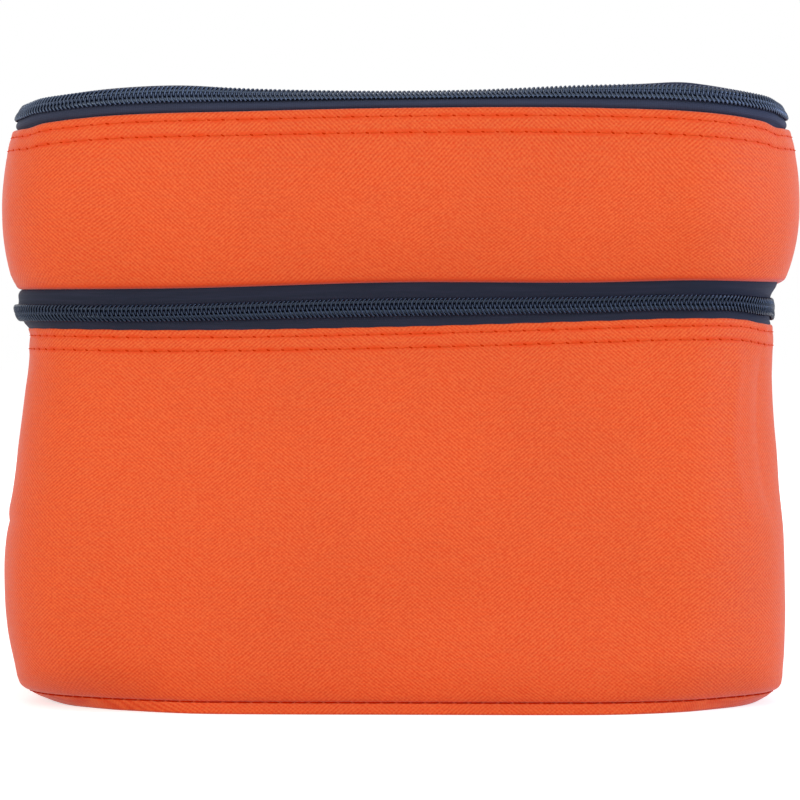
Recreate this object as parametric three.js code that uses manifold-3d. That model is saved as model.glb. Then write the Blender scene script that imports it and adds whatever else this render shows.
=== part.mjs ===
// A soft-sided cooler bag: two insulated compartments, one above the other, each closed by a zip
// round its front and sides. The lid opens at the top, and the upper compartment folds back as the
// lid of the lower one. Millimetres, +Z up, front towards -Y, origin under the middle of the base.
import * as THREE from "three";
import { mergeVertices } from "three/addons/utils/BufferGeometryUtils.js";
import Module from "manifold-3d";

const wasm = await Module();
wasm.setup();

// Plan of the bag along the zips
const zipLineWidth = 215;
const bagDepth = 166; // over the fullest part of the front and back
const frontCornerRadius = 32;
const rearCornerRadius = 12;
const frontBowRadius = 800;

// Layers of the wall, from the outside in, and the gap that pieces sewn together keep
const fabric = 0.8;
const foam = 5;
const liner = 0.5;
const fit = 0.3;

// Heights, from the floor up
const baseRise = 2.6; // the base panel turns up this far to its seam
const baseEdgeRound = 7;
const lowerBandHeight = 105.4;
const hemToMidZip = 4.8;
const midZipToUpperBand = 7.6;
const upperBandHeight = 44.6;
const hemToTopZip = 4.2;
const dividerFoam = 3.6;
const lidFoam = 5;
const rimDrop = 2.3; // the foam stops this far below the hem

// How the filled compartments swell, as distances out from the zip line
const lowerPeak = 5.3;
const lowerPeakHeight = 32; // of the fullest part, above the base seam
const upperFoot = 2;
const upperPeak = 7.6;
const upperPeakHeight = 21.5;
const upperBrow = 4.3;
const swellRise = 0.5; // below its fullest part, a low power is a quick turn out from the foot
const lowerFall = 2.3; // above it, a high power is a quick turn in
const upperFall = 0.75;
const backSwell = 0.4; // share of the swell that the back has
const swellFade = 60; // stretch of each side, from the back, over which it fades to that share

// Facets
const wallSteps = 3; // of a wall below its fullest part, and as many above
const backSteps = 2;
const rearCornerSteps = 3;
const sideSteps = 4;
const frontCornerSteps = 6;
const bowSteps = 6;
const baseEdgeSteps = 3;
const archSteps = 12;

// Trim
const bindingThickness = 1.2;
const ribbonWidth = 10;
const ribbonThickness = 0.4;

// Zips: a coil on a tape, run through a slider
const tape = 0.6;
const coilThickness = 2;
const coilHeight = 2.25; // of one half of the chain
const chainGap = 1.2; // between the two halves, where the slider's neck runs
const midZipPlane = -0.2; // inner face of the tape, out from the zip line
const topZipPlane = 0.8;
const tapeKnee = 1; // the tape turns from the hem into the chain's plane over this height
const upperKnee = 2.6;

// Slider and pull tab
const sliderLength = 11;
const sliderPlate = 1;
const sliderGap = 0.4; // between the tape and the inner plate
const innerPlateReach = 2.6;
const outerPlateReach = 2.9;
const outerPlate = 1.2;
const sliderNeck = 0.6;
const edgeClearance = 1; // from the slider to what it passes
const sliderPark = 14; // from the rear end of the zip to the middle of the slider
const crownWidth = 1.8;
const crownBase = 6.4;
const crownTop = 4.4;
const crownBar = 0.9;
const crownHole = 1.5;
const pullLength = 22;
const pullWidth = 4.8;
const pullThickness = 0.9;
const pullSlotLength = 3.8;
const pullSlotWidth = 2.8;
const pullTaper = 0.75; // width of its free end, as a share of its full width

// Carry handle on the lid
const handleWidth = 25;
const handleThickness = 1.6;
const handleLength = 170;
const handlePatch = 20; // length of each sewn end
const handleArch = 1.6;

// Levels that follow
const lowerBand = {
  bottom: baseRise + fit,
  top: baseRise + fit + lowerBandHeight,
  foot: 0,
  brow: 0,
  peak: lowerPeak,
  peakZ: baseRise + fit + lowerPeakHeight,
  fall: lowerFall,
};
const midZip = { z: lowerBand.top + hemToMidZip, plane: midZipPlane };
const upperBand = {
  bottom: midZip.z + midZipToUpperBand,
  top: midZip.z + midZipToUpperBand + upperBandHeight,
  foot: upperFoot,
  brow: upperBrow,
  peak: upperPeak,
  peakZ: midZip.z + midZipToUpperBand + upperPeakHeight,
  fall: upperFall,
};
const topZip = { z: upperBand.top + hemToTopZip, plane: topZipPlane };
const foamFace = fabric + fit; // in from the shell's outer face to the foam
const linerFace = foamFace + foam + fit;
const dividerTop = midZip.z + innerPlateReach + 2 * fit + liner + fit + dividerFoam;
const lidBottom = topZip.z + innerPlateReach + fit; // underside of the lid's fabric
const lidTop = lidBottom + fabric;

// How far a compartment stands out from the zip line at height z, with the given share of its swell.
function swell(band, z, share) {
  const chord = THREE.MathUtils.mapLinear(z, band.bottom, band.top, band.foot, band.brow);
  const rise = Math.sin((Math.PI / 2) * ((z - band.bottom) / (band.peakZ - band.bottom)));
  const drop = Math.cos((Math.PI / 2) * ((z - band.peakZ) / (band.top - band.peakZ)));
  const full =
    z < band.peakZ
      ? band.foot + (band.peak - band.foot) * rise ** swellRise
      : band.brow + (band.peak - band.brow) * drop ** band.fall;
  return THREE.MathUtils.lerp(chord, full, share);
}

// The heights at which a compartment's faces are drawn, with the fullest one among them.
function levels(band) {
  const part = (from, to) =>
    Array.from({ length: wallSteps }, (_, i) => THREE.MathUtils.lerp(from, to, i / wallSteps));
  return [...part(band.bottom, band.peakZ), ...part(band.peakZ, band.top), band.top];
}

// Where the shell's faceted outer face lies at height z, so that every layer runs parallel to it.
function shellOut(band, z, share) {
  const heights = levels(band);
  const above = Math.max(
    1,
    heights.findIndex((height) => height >= z),
  );
  const low = heights[above - 1];
  const high = heights[above];
  return THREE.MathUtils.mapLinear(z, low, high, swell(band, low, share), swell(band, high, share));
}

// The outer face of a layer of a compartment's wall from the bottom up, set in from the shell's.
function wallFace(band, bottom, top, inset, share) {
  const between = levels(band).filter((z) => z > bottom && z < top);
  return [bottom, ...between, top].map((z) => [shellOut(band, z, share) - inset, z]);
}

// Plan outline along the zips, anticlockwise from above, from the right end of the back.
const halfWidth = zipLineWidth / 2;
const frontY = upperPeak - bagDepth / 2;
const backProud = Math.max(...levels(upperBand).map((z) => swell(upperBand, z, backSwell)));
const backY = bagDepth / 2 - backProud;
const rearX = halfWidth - rearCornerRadius;
const rearY = backY - rearCornerRadius;
const cornerX = halfWidth - frontCornerRadius;
const bowY = frontY + frontBowRadius;
const cornerY = bowY - Math.sqrt((frontBowRadius - frontCornerRadius) ** 2 - cornerX ** 2);
const bowAngle = Math.asin(cornerX / (frontBowRadius - frontCornerRadius));
const frontAngle = 1.5 * Math.PI;

const line = (x1, y1, x2, y2) => new THREE.LineCurve(new THREE.Vector2(x1, y1), new THREE.Vector2(x2, y2));
const arc = (x, y, radius, from, to) => new THREE.EllipseCurve(x, y, radius, radius, from, to);
const stretch = (curve, steps) => ({ curve, steps });
const leftAngle = Math.PI;
const bowFrom = frontAngle - bowAngle;
const bowTo = frontAngle + bowAngle;
const plan = {
  back: stretch(line(rearX, backY, -rearX, backY), backSteps),
  rearLeft: stretch(arc(-rearX, rearY, rearCornerRadius, Math.PI / 2, leftAngle), rearCornerSteps),
  left: stretch(line(-halfWidth, rearY, -halfWidth, cornerY), sideSteps),
  frontLeft: stretch(arc(-cornerX, cornerY, frontCornerRadius, leftAngle, bowFrom), frontCornerSteps),
  front: stretch(arc(0, bowY, frontBowRadius, bowFrom, bowTo), bowSteps),
  frontRight: stretch(arc(cornerX, cornerY, frontCornerRadius, bowTo, 2 * Math.PI), frontCornerSteps),
  right: stretch(line(halfWidth, cornerY, halfWidth, rearY), sideSteps),
  rearRight: stretch(arc(rearX, rearY, rearCornerRadius, 0, Math.PI / 2), rearCornerSteps),
};

// Stations along named stretches of the plan: a point, its outward direction and its share of the
// swell. Each end of the whole course is held back by trim.
function course(names, trim = 0) {
  return names.flatMap((name, index) => {
    const { curve, steps } = plan[name];
    const held = trim / curve.getLength();
    const from = index === 0 ? held : 0;
    const to = index === names.length - 1 ? 1 - held : 1;
    const all = Array.from({ length: steps + 1 }, (_, i) => {
      const t = THREE.MathUtils.lerp(from, to, i / steps);
      const point = curve.getPoint(t);
      const along = curve.getTangent(t);
      const fade = THREE.MathUtils.smoothstep(point.y, backY - swellFade, backY);
      return {
        x: point.x,
        y: point.y,
        outX: along.y,
        outY: -along.x,
        share: THREE.MathUtils.lerp(1, backSwell, fade),
      };
    });
    return index === 0 ? all : all.slice(1);
  });
}

const zipNames = ["left", "frontLeft", "front", "frontRight", "right"];
const wholeLoop = course(Object.keys(plan)).slice(0, -1);
const shellCourse = course(["rearLeft", ...zipNames, "rearRight"]);
const backCourse = course(["back"], fit);
const zipCourse = course(zipNames);
const hingeCourse = course(["rearRight", "back", "rearLeft"], fit);

// A section is a list of [distance out from the zip line, height] points, anticlockwise as seen
// with the outside to the right, or a function that gives such a list for a station.
const sectionAt = (section, station) => (typeof section === "function" ? section(station) : section);

function placed(stations, section) {
  return stations.flatMap((station) =>
    sectionAt(section, station).flatMap(([out, z]) => [
      station.x + station.outX * out,
      station.y + station.outY * out,
      z,
    ]),
  );
}

function meshed(positions, indices) {
  const geometry = new THREE.BufferGeometry();
  geometry.setAttribute("position", new THREE.Float32BufferAttribute(positions, 3));
  geometry.setIndex(indices);
  geometry.computeVertexNormals();
  return geometry;
}

// The quads between rings of points, each ring holding count points. A quad is always split from
// its lower corner on the next ring, so that faces that run parallel stay parallel.
function skin(positions, count, closedRing, closedRun) {
  const rings = positions.length / (3 * count);
  const height = (vertex) => positions[3 * vertex + 2];
  const indices = [];
  for (let i = 0; i < (closedRun ? rings : rings - 1); i += 1) {
    const here = i * count;
    const next = ((i + 1) % rings) * count;
    for (let j = 0; j < (closedRing ? count : count - 1); j += 1) {
      const k = (j + 1) % count;
      if (height(here + k) >= height(here + j)) {
        indices.push(here + j, next + j, here + k, here + k, next + j, next + k);
      } else {
        indices.push(here + j, next + j, next + k, here + j, next + k, here + k);
      }
    }
  }
  return indices;
}

const triangles = (points) =>
  THREE.ShapeUtils.triangulateShape(
    points.map(([x, y]) => new THREE.Vector2(x, y)),
    [],
  );

// A strip of constant section from one end of a course to the other.
function strip(stations, section) {
  const first = sectionAt(section, stations[0]);
  const last = sectionAt(section, stations[stations.length - 1]);
  const end = (stations.length - 1) * first.length;
  const positions = placed(stations, section);
  const indices = skin(positions, first.length, true, false);
  triangles(first).forEach(([a, b, c]) => indices.push(a, b, c));
  triangles(last).forEach(([a, b, c]) => indices.push(end + c, end + b, end + a));
  return meshed(positions, indices);
}

// A closed ring of constant section round the whole plan.
function ring(section) {
  const count = sectionAt(section, wholeLoop[0]).length;
  const positions = placed(wholeLoop, section);
  return meshed(positions, skin(positions, count, true, true));
}

// A slab, tray or tub: the profile runs from the edge of its flat underside, round the outside,
// to the edge of its flat upper face, and both flat faces are filled.
function tray(profile) {
  const count = sectionAt(profile, wholeLoop[0]).length;
  const positions = placed(wholeLoop, profile);
  const indices = skin(positions, count, false, true);
  const face = (j) =>
    wholeLoop.map((_, i) => positions.slice(3 * (i * count + j), 3 * (i * count + j) + 2));
  const top = count - 1;
  triangles(face(0)).forEach(([a, b, c]) => indices.push(c * count, b * count, a * count));
  triangles(face(top)).forEach(([a, b, c]) =>
    indices.push(a * count + top, b * count + top, c * count + top),
  );
  return meshed(positions, indices);
}

const slab = (out, bottom, top) =>
  tray([
    [out, bottom],
    [out, top],
  ]);

// An upright rectangle of section.
const bar = (inner, outer, bottom, top) => [
  [inner, bottom],
  [outer, bottom],
  [outer, top],
  [inner, top],
];

// A layer given by its outer face from the bottom up, with a thickness towards the inside.
const layer = (face, thickness) => [...face, ...face.map(([out, z]) => [out - thickness, z]).reverse()];

// A wall that follows a compartment's swell, set in from its shell's outer face.
const wall = (band, bottom, top, inset, thickness) => (station) =>
  layer(wallFace(band, bottom, top, inset, station.share), thickness);

const finishes = {
  shell: { color: 0xe8622d, roughness: 0.85, metalness: 0 },
  tape: { color: 0x2e3244, roughness: 0.9, metalness: 0 },
  coil: { color: 0x262b39, roughness: 0.45, metalness: 0 },
  foam: { color: 0xe9e9e4, roughness: 0.95, metalness: 0 },
  liner: { color: 0xc9cdd0, roughness: 0.4, metalness: 0 },
  binding: { color: 0x2e3244, roughness: 0.9, metalness: 0 },
  slider: { color: 0x2a2f3f, roughness: 0.4, metalness: 0.6 },
  webbing: { color: 0x2e3244, roughness: 0.9, metalness: 0 },
};

function add(group, name, finish, geometry) {
  const mesh = new THREE.Mesh(geometry, new THREE.MeshStandardMaterial(finishes[finish]));
  mesh.name = name;
  group.add(mesh);
}

// Shell, foam, tub and bound rim of one compartment, standing on the given floor.
function addCompartment(group, prefix, band, foamBottom, tubBottom) {
  const foamTop = band.top - rimDrop;
  const bindingBottom = foamTop + fit;
  const bindingOut = band.brow - foamFace;
  const bindingIn = band.brow - linerFace - liner;
  const shell = wall(band, band.bottom, band.top, 0, fabric);
  add(group, `${prefix}_band`, "shell", strip(shellCourse, shell));
  add(group, `${prefix}_back_panel`, "shell", strip(backCourse, shell));
  add(group, `${prefix}_wall_foam`, "foam", ring(wall(band, foamBottom, foamTop, foamFace, foam)));
  const tub = ({ share }) => [
    ...wallFace(band, tubBottom, foamTop, linerFace, share),
    ...wallFace(band, tubBottom + liner, foamTop, linerFace + liner, share).reverse(),
  ];
  add(group, `${prefix}_liner`, "liner", tray(tub));
  const binding = bar(bindingIn, bindingOut, bindingBottom, bindingBottom + bindingThickness);
  add(group, `${prefix}_rim_binding`, "binding", ring(binding));
}

// One half of a zip: its tape, of the given section, and its half of the coil.
function addHalfZip(group, prefix, zip, tapeSection, direction) {
  const inner = zip.z + direction * (chainGap / 2);
  const outer = inner + direction * coilHeight;
  const coilFace = zip.plane + tape + fit;
  const coil = bar(coilFace, coilFace + coilThickness, Math.min(inner, outer), Math.max(inner, outer));
  add(group, `${prefix}_tape`, "tape", strip(zipCourse, tapeSection));
  add(group, `${prefix}_coil`, "coil", strip(zipCourse, coil));
}

// The plan distance at which a piece beside a zip clears the slider's inner plate.
const clearOfSlider = (zip) => zip.plane - sliderGap - sliderPlate - edgeClearance;

function extruded(points, depth, hole) {
  const shape = new THREE.Shape(points.map(([x, y]) => new THREE.Vector2(x, y)));
  if (hole) {
    shape.holes.push(new THREE.Path(hole.map(([x, y]) => new THREE.Vector2(x, y))));
  }
  const geometry = new THREE.ExtrudeGeometry(shape, { depth, bevelEnabled: false });
  return geometry.translate(0, 0, -depth / 2);
}

function solidOf(geometry) {
  const bare = geometry.clone();
  bare.deleteAttribute("normal");
  bare.deleteAttribute("uv");
  const merged = mergeVertices(bare);
  const vertProperties = merged.attributes.position.array;
  const triVerts = new Uint32Array(merged.index.array);
  return new wasm.Manifold(new wasm.Mesh({ numProp: 3, vertProperties, triVerts }));
}

function joined(first, second) {
  const { vertProperties, triVerts } = solidOf(first).add(solidOf(second)).getMesh();
  return meshed(Array.from(vertProperties), Array.from(triVerts));
}

// Slider, in a frame at the middle of the chain with X outwards, Y along the zip and Z up.
const plateFace = tape + fit + coilThickness + fit; // inner face of the outer plate
const plateTop = plateFace + outerPlate;
const barHeight = plateTop + crownHole / 2; // the pull tab turns about this line

function sliderGeometry() {
  const innerFace = -sliderGap;
  const back = innerFace - sliderPlate;
  const half = sliderNeck / 2;
  const beam = [
    [back, -innerPlateReach],
    [innerFace, -innerPlateReach],
    [innerFace, -half],
    [plateFace, -half],
    [plateFace, -outerPlateReach],
    [plateTop, -outerPlateReach],
    [plateTop, outerPlateReach],
    [plateFace, outerPlateReach],
    [plateFace, half],
    [innerFace, half],
    [innerFace, innerPlateReach],
    [back, innerPlateReach],
  ];
  const body = extruded(beam, sliderLength).rotateX(Math.PI / 2);
  const root = plateTop - outerPlate / 2;
  const holeTop = plateTop + crownHole;
  const crownHeight = holeTop + crownBar;
  const legIn = crownBase / 2 - crownBar;
  const crown = [
    [root, -crownBase / 2],
    [plateTop, -crownBase / 2],
    [crownHeight, -crownTop / 2],
    [crownHeight, crownTop / 2],
    [plateTop, crownBase / 2],
    [root, crownBase / 2],
    [root, legIn],
    [holeTop, legIn],
    [holeTop, -legIn],
    [root, -legIn],
  ];
  return joined(body, extruded(crown, crownWidth));
}

// Pull tab, in a frame on its turning line, lying forwards along the zip.
function pullGeometry() {
  const half = pullWidth / 2;
  const barHalf = pullThickness / 2;
  const taper = half * pullTaper;
  const outline = [
    [-half, barHalf],
    [-half, -pullSlotLength - barHalf],
    [-taper, -pullLength],
    [taper, -pullLength],
    [half, -pullSlotLength - barHalf],
    [half, barHalf],
  ];
  const slot = [
    [-pullSlotWidth / 2, -barHalf],
    [pullSlotWidth / 2, -barHalf],
    [pullSlotWidth / 2, -pullSlotLength],
    [-pullSlotWidth / 2, -pullSlotLength],
  ];
  return extruded(outline, pullThickness, slot).rotateY(Math.PI / 2);
}

// The slider and pull tab of a zip, parked near the rear end of its right side.
function addSlider(group, prefix, zip) {
  const carrier = new THREE.Group();
  carrier.position.set(halfWidth + zip.plane, rearY - sliderPark, zip.z);
  add(carrier, `${prefix}_slider`, "slider", sliderGeometry());
  const pullFrame = new THREE.Group();
  pullFrame.position.set(barHeight, 0, 0);
  add(pullFrame, `${prefix}_pull`, "slider", pullGeometry());
  carrier.add(pullFrame);
  group.add(carrier);
}

const bag = new THREE.Group();

// Lower compartment
const lower = new THREE.Group();
bag.add(lower);
const baseArc = Array.from(
  { length: baseEdgeSteps + 1 },
  (_, step) => (step / baseEdgeSteps) * (Math.PI / 2),
);
const baseOuter = baseArc.map((a) => [
  -baseEdgeRound * (1 - Math.sin(a)),
  baseRise * (1 - Math.cos(a)),
]);
const baseInner = baseArc.map((a) => [
  -baseEdgeRound + (baseEdgeRound - fabric) * Math.sin(a),
  fabric + (baseRise - fabric) * (1 - Math.cos(a)),
]);
const baseFoamTop = fabric + fit + foam;
add(lower, "base_panel", "shell", tray([...baseOuter, ...baseInner.reverse()]));
add(lower, "base_foam", "foam", slab(-linerFace, fabric + fit, baseFoamTop));
addCompartment(lower, "lower", lowerBand, lowerBand.bottom + fit, baseFoamTop + fit);
const midTapeFace = midZip.plane + tape;
const lowerTapeBottom = lowerBand.top + fit;
const lowerTape = layer(
  [
    [lowerBand.brow, lowerTapeBottom],
    [midTapeFace, lowerTapeBottom + tapeKnee],
    [midTapeFace, midZip.z - chainGap / 2],
  ],
  tape,
);
addHalfZip(lower, "mid_zip_lower", midZip, lowerTape, -1);
const upperTapeTop = upperBand.bottom - fit;
const midHinge = layer(
  [
    [lowerBand.brow, lowerTapeBottom],
    [upperBand.foot, upperTapeTop],
  ],
  fabric,
);
add(lower, "mid_hinge_strip", "shell", strip(hingeCourse, midHinge));
addSlider(lower, "mid_zip", midZip);

// Upper compartment, on its insulated floor
const upper = new THREE.Group();
bag.add(upper);
const dividerEdge = midZip.plane - fit;
const dividerBottom = dividerTop - dividerFoam;
const undersideTop = dividerBottom - fit;
const undersideBottom = undersideTop - liner;
const ribbon = (out, top) => bar(out - ribbonWidth, out, top - ribbonThickness, top);
add(upper, "divider_foam", "foam", slab(dividerEdge, dividerBottom, dividerTop));
add(upper, "divider_underside", "liner", slab(dividerEdge, undersideBottom, undersideTop));
add(upper, "divider_binding", "binding", ring(ribbon(clearOfSlider(midZip), undersideBottom - fit)));
addCompartment(upper, "upper", upperBand, dividerTop + fit, dividerTop + fit);
const upperTape = layer(
  [
    [midTapeFace, midZip.z + chainGap / 2],
    [midTapeFace, upperTapeTop - upperKnee],
    [upperBand.foot, upperTapeTop],
  ],
  tape,
);
addHalfZip(upper, "mid_zip_upper", midZip, upperTape, 1);
const topTapeFace = topZip.plane + tape;
const shelf = upperBand.top + fit;
const rimTape = [
  [topZip.plane, shelf],
  [upperBand.brow, shelf],
  [upperBand.brow, shelf + tape],
  [topTapeFace, shelf + tape],
  [topTapeFace, topZip.z - chainGap / 2],
  [topZip.plane, topZip.z - chainGap / 2],
];
addHalfZip(upper, "top_zip_lower", topZip, rimTape, -1);
const lidEdge = clearOfSlider(topZip);
const hingeTurn = lidTop - lidBottom + fabric;
const lidHinge = [
  [upperBand.brow - fabric, shelf],
  [upperBand.brow, shelf],
  [upperBand.brow, lidTop - hingeTurn],
  [upperBand.brow - hingeTurn, lidTop],
  [lidEdge + fit, lidTop],
  [lidEdge + fit, lidBottom],
  [upperBand.brow - hingeTurn - fabric / 2, lidBottom],
  [upperBand.brow - fabric, lidTop - hingeTurn - fabric / 2],
];
add(upper, "lid_hinge_strip", "shell", strip(hingeCourse, lidHinge));
addSlider(upper, "top_zip", topZip);

// Lid
const lid = new THREE.Group();
bag.add(lid);
const lidFoamBottom = lidBottom - fit - lidFoam;
const lidLinerBottom = lidFoamBottom - fit - liner;
add(lid, "lid_panel", "shell", slab(lidEdge, lidBottom, lidTop));
add(lid, "lid_foam", "foam", slab(lidEdge, lidFoamBottom, lidBottom - fit));
add(lid, "lid_liner", "liner", slab(lidEdge, lidLinerBottom, lidLinerBottom + liner));
add(lid, "lid_binding", "binding", ring(ribbon(lidEdge, lidLinerBottom - fit)));
const lidTape = [
  [topZip.plane, topZip.z + chainGap / 2],
  [topTapeFace, topZip.z + chainGap / 2],
  [topTapeFace, lidBottom + tape],
  [lidEdge + fit, lidBottom + tape],
  [lidEdge + fit, lidBottom],
  [topZip.plane, lidBottom],
];
addHalfZip(lid, "top_zip_upper", topZip, lidTape, 1);

// A strap along X, sewn flat at both ends and slightly raised between them
function handleGeometry() {
  const free = handleLength / 2 - handlePatch;
  const under = Array.from({ length: archSteps + 1 }, (_, i) => {
    const x = THREE.MathUtils.lerp(-free, free, i / archSteps);
    return [x, handleArch * Math.cos((Math.PI / 2) * (x / free)) ** 2];
  });
  const lowerFace = [[-handleLength / 2, 0], ...under, [handleLength / 2, 0]];
  const upperFace = lowerFace.map(([x, z]) => [x, z + handleThickness]).reverse();
  return extruded([...lowerFace, ...upperFace], handleWidth).rotateX(Math.PI / 2);
}
const handleFrame = new THREE.Group();
handleFrame.position.set(0, 0, lidTop + fit);
add(handleFrame, "carry_handle", "webbing", handleGeometry());
lid.add(handleFrame);

export default bag;
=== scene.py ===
"""Looks of a soft cooler bag with two zipped compartments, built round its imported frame.

Sizes are millimetres until a mesh is made. +Z is up and the front faces -Y.
"""
import math
from types import SimpleNamespace

import bmesh
import bpy
import numpy as np
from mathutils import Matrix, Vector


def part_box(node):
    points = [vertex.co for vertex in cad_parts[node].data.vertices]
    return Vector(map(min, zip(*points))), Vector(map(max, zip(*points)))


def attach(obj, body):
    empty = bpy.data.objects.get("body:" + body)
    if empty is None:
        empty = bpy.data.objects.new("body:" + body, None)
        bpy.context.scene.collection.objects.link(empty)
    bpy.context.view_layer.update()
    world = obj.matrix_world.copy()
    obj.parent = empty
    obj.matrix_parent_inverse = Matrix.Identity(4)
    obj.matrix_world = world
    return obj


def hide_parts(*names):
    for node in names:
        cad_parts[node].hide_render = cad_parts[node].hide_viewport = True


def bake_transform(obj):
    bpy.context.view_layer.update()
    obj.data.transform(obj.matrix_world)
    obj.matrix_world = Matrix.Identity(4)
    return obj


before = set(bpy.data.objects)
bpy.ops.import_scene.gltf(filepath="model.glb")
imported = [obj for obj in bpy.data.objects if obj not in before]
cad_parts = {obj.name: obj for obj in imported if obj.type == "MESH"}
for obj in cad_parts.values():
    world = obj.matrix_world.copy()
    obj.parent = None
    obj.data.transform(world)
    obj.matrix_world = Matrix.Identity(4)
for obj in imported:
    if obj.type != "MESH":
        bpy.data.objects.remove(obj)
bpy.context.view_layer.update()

MM = 0.001
random = np.random.default_rng(11)

# Plan of the bag along the zips
FRONT_CORNER = 32.0
REAR_CORNER = 12.0
FRONT_BOW = 800.0
PLAN_STEP = 0.25

# Layers of the wall
FABRIC = 0.8
FOAM = 5.0
LINER = 0.5
FIT = 0.3
LINER_INSET = FABRIC + FIT + FOAM + FIT
WELD = 1e-7

# How the compartments swell out from the zip line
SWELL_RISE = 0.5
BACK_SWELL = 0.4
SWELL_FADE = 60.0

# Repeat of the shell's weave up the wall, and that repeat as a share of the one along it
WEAVE = 1.09
WEAVE_SLANT = 0.81

# Stitching: length of a stitch, the thread, the rows below a hem, the dark mark at a needle hole, painted
# shade where the thread dives in (its length, radius, lift and slant), the base seam's thread, darkened as
# painted shade in its groove (its length shown and radius), and the relief of a hem
STITCH = 4.0
THREAD_SHOWN = 3.1
THREAD = 0.14
HEM_ROWS = (2.2, 6.0)
NEEDLE_SHADE_MARK = (1.5, 0.26, -0.3, 0.2)
BASE_THREAD = (3.8, 0.22)
SEAM_ROW = (2.2,)
HEM_PUFF = 0.22
STITCH_GROOVE = 0.20
GROOVE_WIDTH = 0.62
PUCKER = 0.10
PUCKER_LENGTH = 9.3
PUCKER_FADE = 5.0

# Rows of a mesh: beside an edge, over a hem, and the shares of the way to the middle of a disc
EDGE_ROWS = (0.0, 0.08, 0.25, 0.5, 0.8)
ROW_STEP = 0.45
HEM_FINE = 9.0
FILL_IN = (0.12, 0.25, 0.4, 0.55, 0.7, 0.85, 1.0)
MIDDLE_DEPTH = 70.0

# Depth below a hem's edge, and height above a seam, for fabric that has none nearby
NO_SEAM = 100.0

# Zips, measured from the tape's outer face and along the tape from the middle of the chain
COIL_PITCH = 1.25
COIL_WIRE = 0.30
COIL_THICKNESS = 1.5
COIL_REACH = 2.7
COIL_OVERLAP = 0.7
CORE = (0.75, 0.30)
CORD_MARK = 10.0
COIL_LEAN = 0.62
TAPE = 0.6

# The lid's zip: its tape stands up from the hem, bends below the chain, and again above it towards the lid
TOP_CHAIN = 5.2
BEND_BELOW = (0.8, 2.4)
BEND_ABOVE = (8.0, 9.6)
LID_FALL = math.radians(125)
SIDE_TILT = 36
LID_AT = 11.7
TAPE_END = 12.8

# How the filled bag settles at the front: pairs of place across the front and rise
RIM_RISE = (
    (-107, -0.3), (-101, 0.9), (-95, 1.5), (-84, 2.4), (-42, 3.7), (5, 4.6), (56, 4.6), (81, 3.8), (97, 2.3),
    (103, 1.3), (107, 0.0)
)
FOOT_RISE = ((-107, -1.4), (-64, -1.2), (0, 0.5), (56, 0.5), (82, 1.1), (107, 0.8))
CHAIN_RISE = ((-107, -0.5), (-70, -0.5), (-14, 1.2), (56, 2.0), (82, 2.6), (98, 2.4), (107, 1.4))
HEM_RISE = ((-107, 0.0), (-70, -0.4), (0, 0.6), (56, 2.2), (82, 2.9), (97, 2.6), (107, 1.1))
INNER_RISE = 0.25

# How far back from the front that settling goes: it starts to fade, and ends on the right and the left
SIDE_FADE = 29
RIGHT_END = 47
LEFT_END = 75

# Heights where the rise of the lower hem starts and that of the upper foot ends, from their bands' feet
HEM_RISE_FROM = 45
FOOT_RISE_TO = 24

# The turn of the lid's zip across the front, the bulge of its tape past the chain, and how far it is drawn in
ZIP_TILT = (
    (-97, 32), (-84, 28), (-61, 27), (-42, 48), (-25, 60), (0, 68), (24, 65), (56, 44), (70, 34), (82, 27),
    (95, 29)
)
TAPE_BULGE = (78.0, 8.0, 0.55)
BROW_IN = 0.3

# How it leans to its right, by height: the whole bag, and besides that the left and the right of its front
LEAN = ((0, 0.4), (10, -0.3), (20, -0.75), (42, -1.3), (60, -0.9), (75, -0.4), (92, -0.05), (110, 0.0))
LEFT_LEAN = (
    (0, -2.2), (4, -1.8), (8, -0.8), (22, -0.5), (42, -0.4), (60, -0.1), (80, -0.4), (91, -0.1), (102, 0.5),
    (108, 0.3), (109.6, -0.6), (111.5, -1.5), (113.9, -2.3), (117, -2.3), (120, -1.4), (121.2, -0.1),
    (124, 0.0), (150, 0.0), (161, 0.2)
)
RIGHT_LEAN = (
    (0, 2.2), (4, 2.0), (8, 1.0), (14, 0.4), (60, 0.0), (85, 0.1), (101, 0.5), (106, 0.1), (107.7, -0.1),
    (110, -1.4), (115, -1.5), (117.8, -0.5), (119, 0.1), (124, 0.0), (145, 0.4), (161, 0.6)
)

# The foot of the bag: how far it is drawn under at its left and right, where across the front that starts
# and is full, up to what height, and how far forward its front stands
BASE_TUCK = (10.5, 7.5)
TUCK_CORNER = (52, 96)
TUCK_HEIGHT = 8.5
SEAM_RISE = 0.7
FORWARD_FADE = (3, 34)
FORWARD_DEPTH = 45
FOOT_FORWARD = ((-98, 0.0), (-58, 2.6), (0, 3.2), (56, 6.0), (74, 6.0), (100, 0.0))

# Soft dents of the shell and creases of the tubs: wavelength, seed and depth of each set of ripples
DENTS = ((46, 3, 0.32), (17, 5, 0.12))
TUB_CREASES = ((34, 21, 0.5), (15, 22, 0.35))
HINGE_WRINKLE = (13, 31, 0.16)
RIPPLE_WAVES = 7
RIPPLE_GAIN = 1.6

# Folds of the corners: the right one's line as pairs of height and place, the left one's height; then the
# crown of the lid, how its corners are rounded off, and how far its hem laps over the zip's tape
RIGHT_FOLD = ((40, 26), (48, 23), (66, 17), (105, 19))
LEFT_CREASE = 52.5
LID_CROWN = 1.0
EDGE_BLEND = 14.0
HEM_LAP = 0.8

# Insides: the divider's edge, the thin films, the tubs' rounded foot and the ribbons
DIVIDER_SHY = 0.7
FILM_ROUND = 0.2
SLAB_INNER = 8.0
TUB_FOOT = 7.0
TUB_ROUND = 4.9
RIBBON_WIDTH = 10.0
RIBBON_SEAM = 1.6

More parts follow.
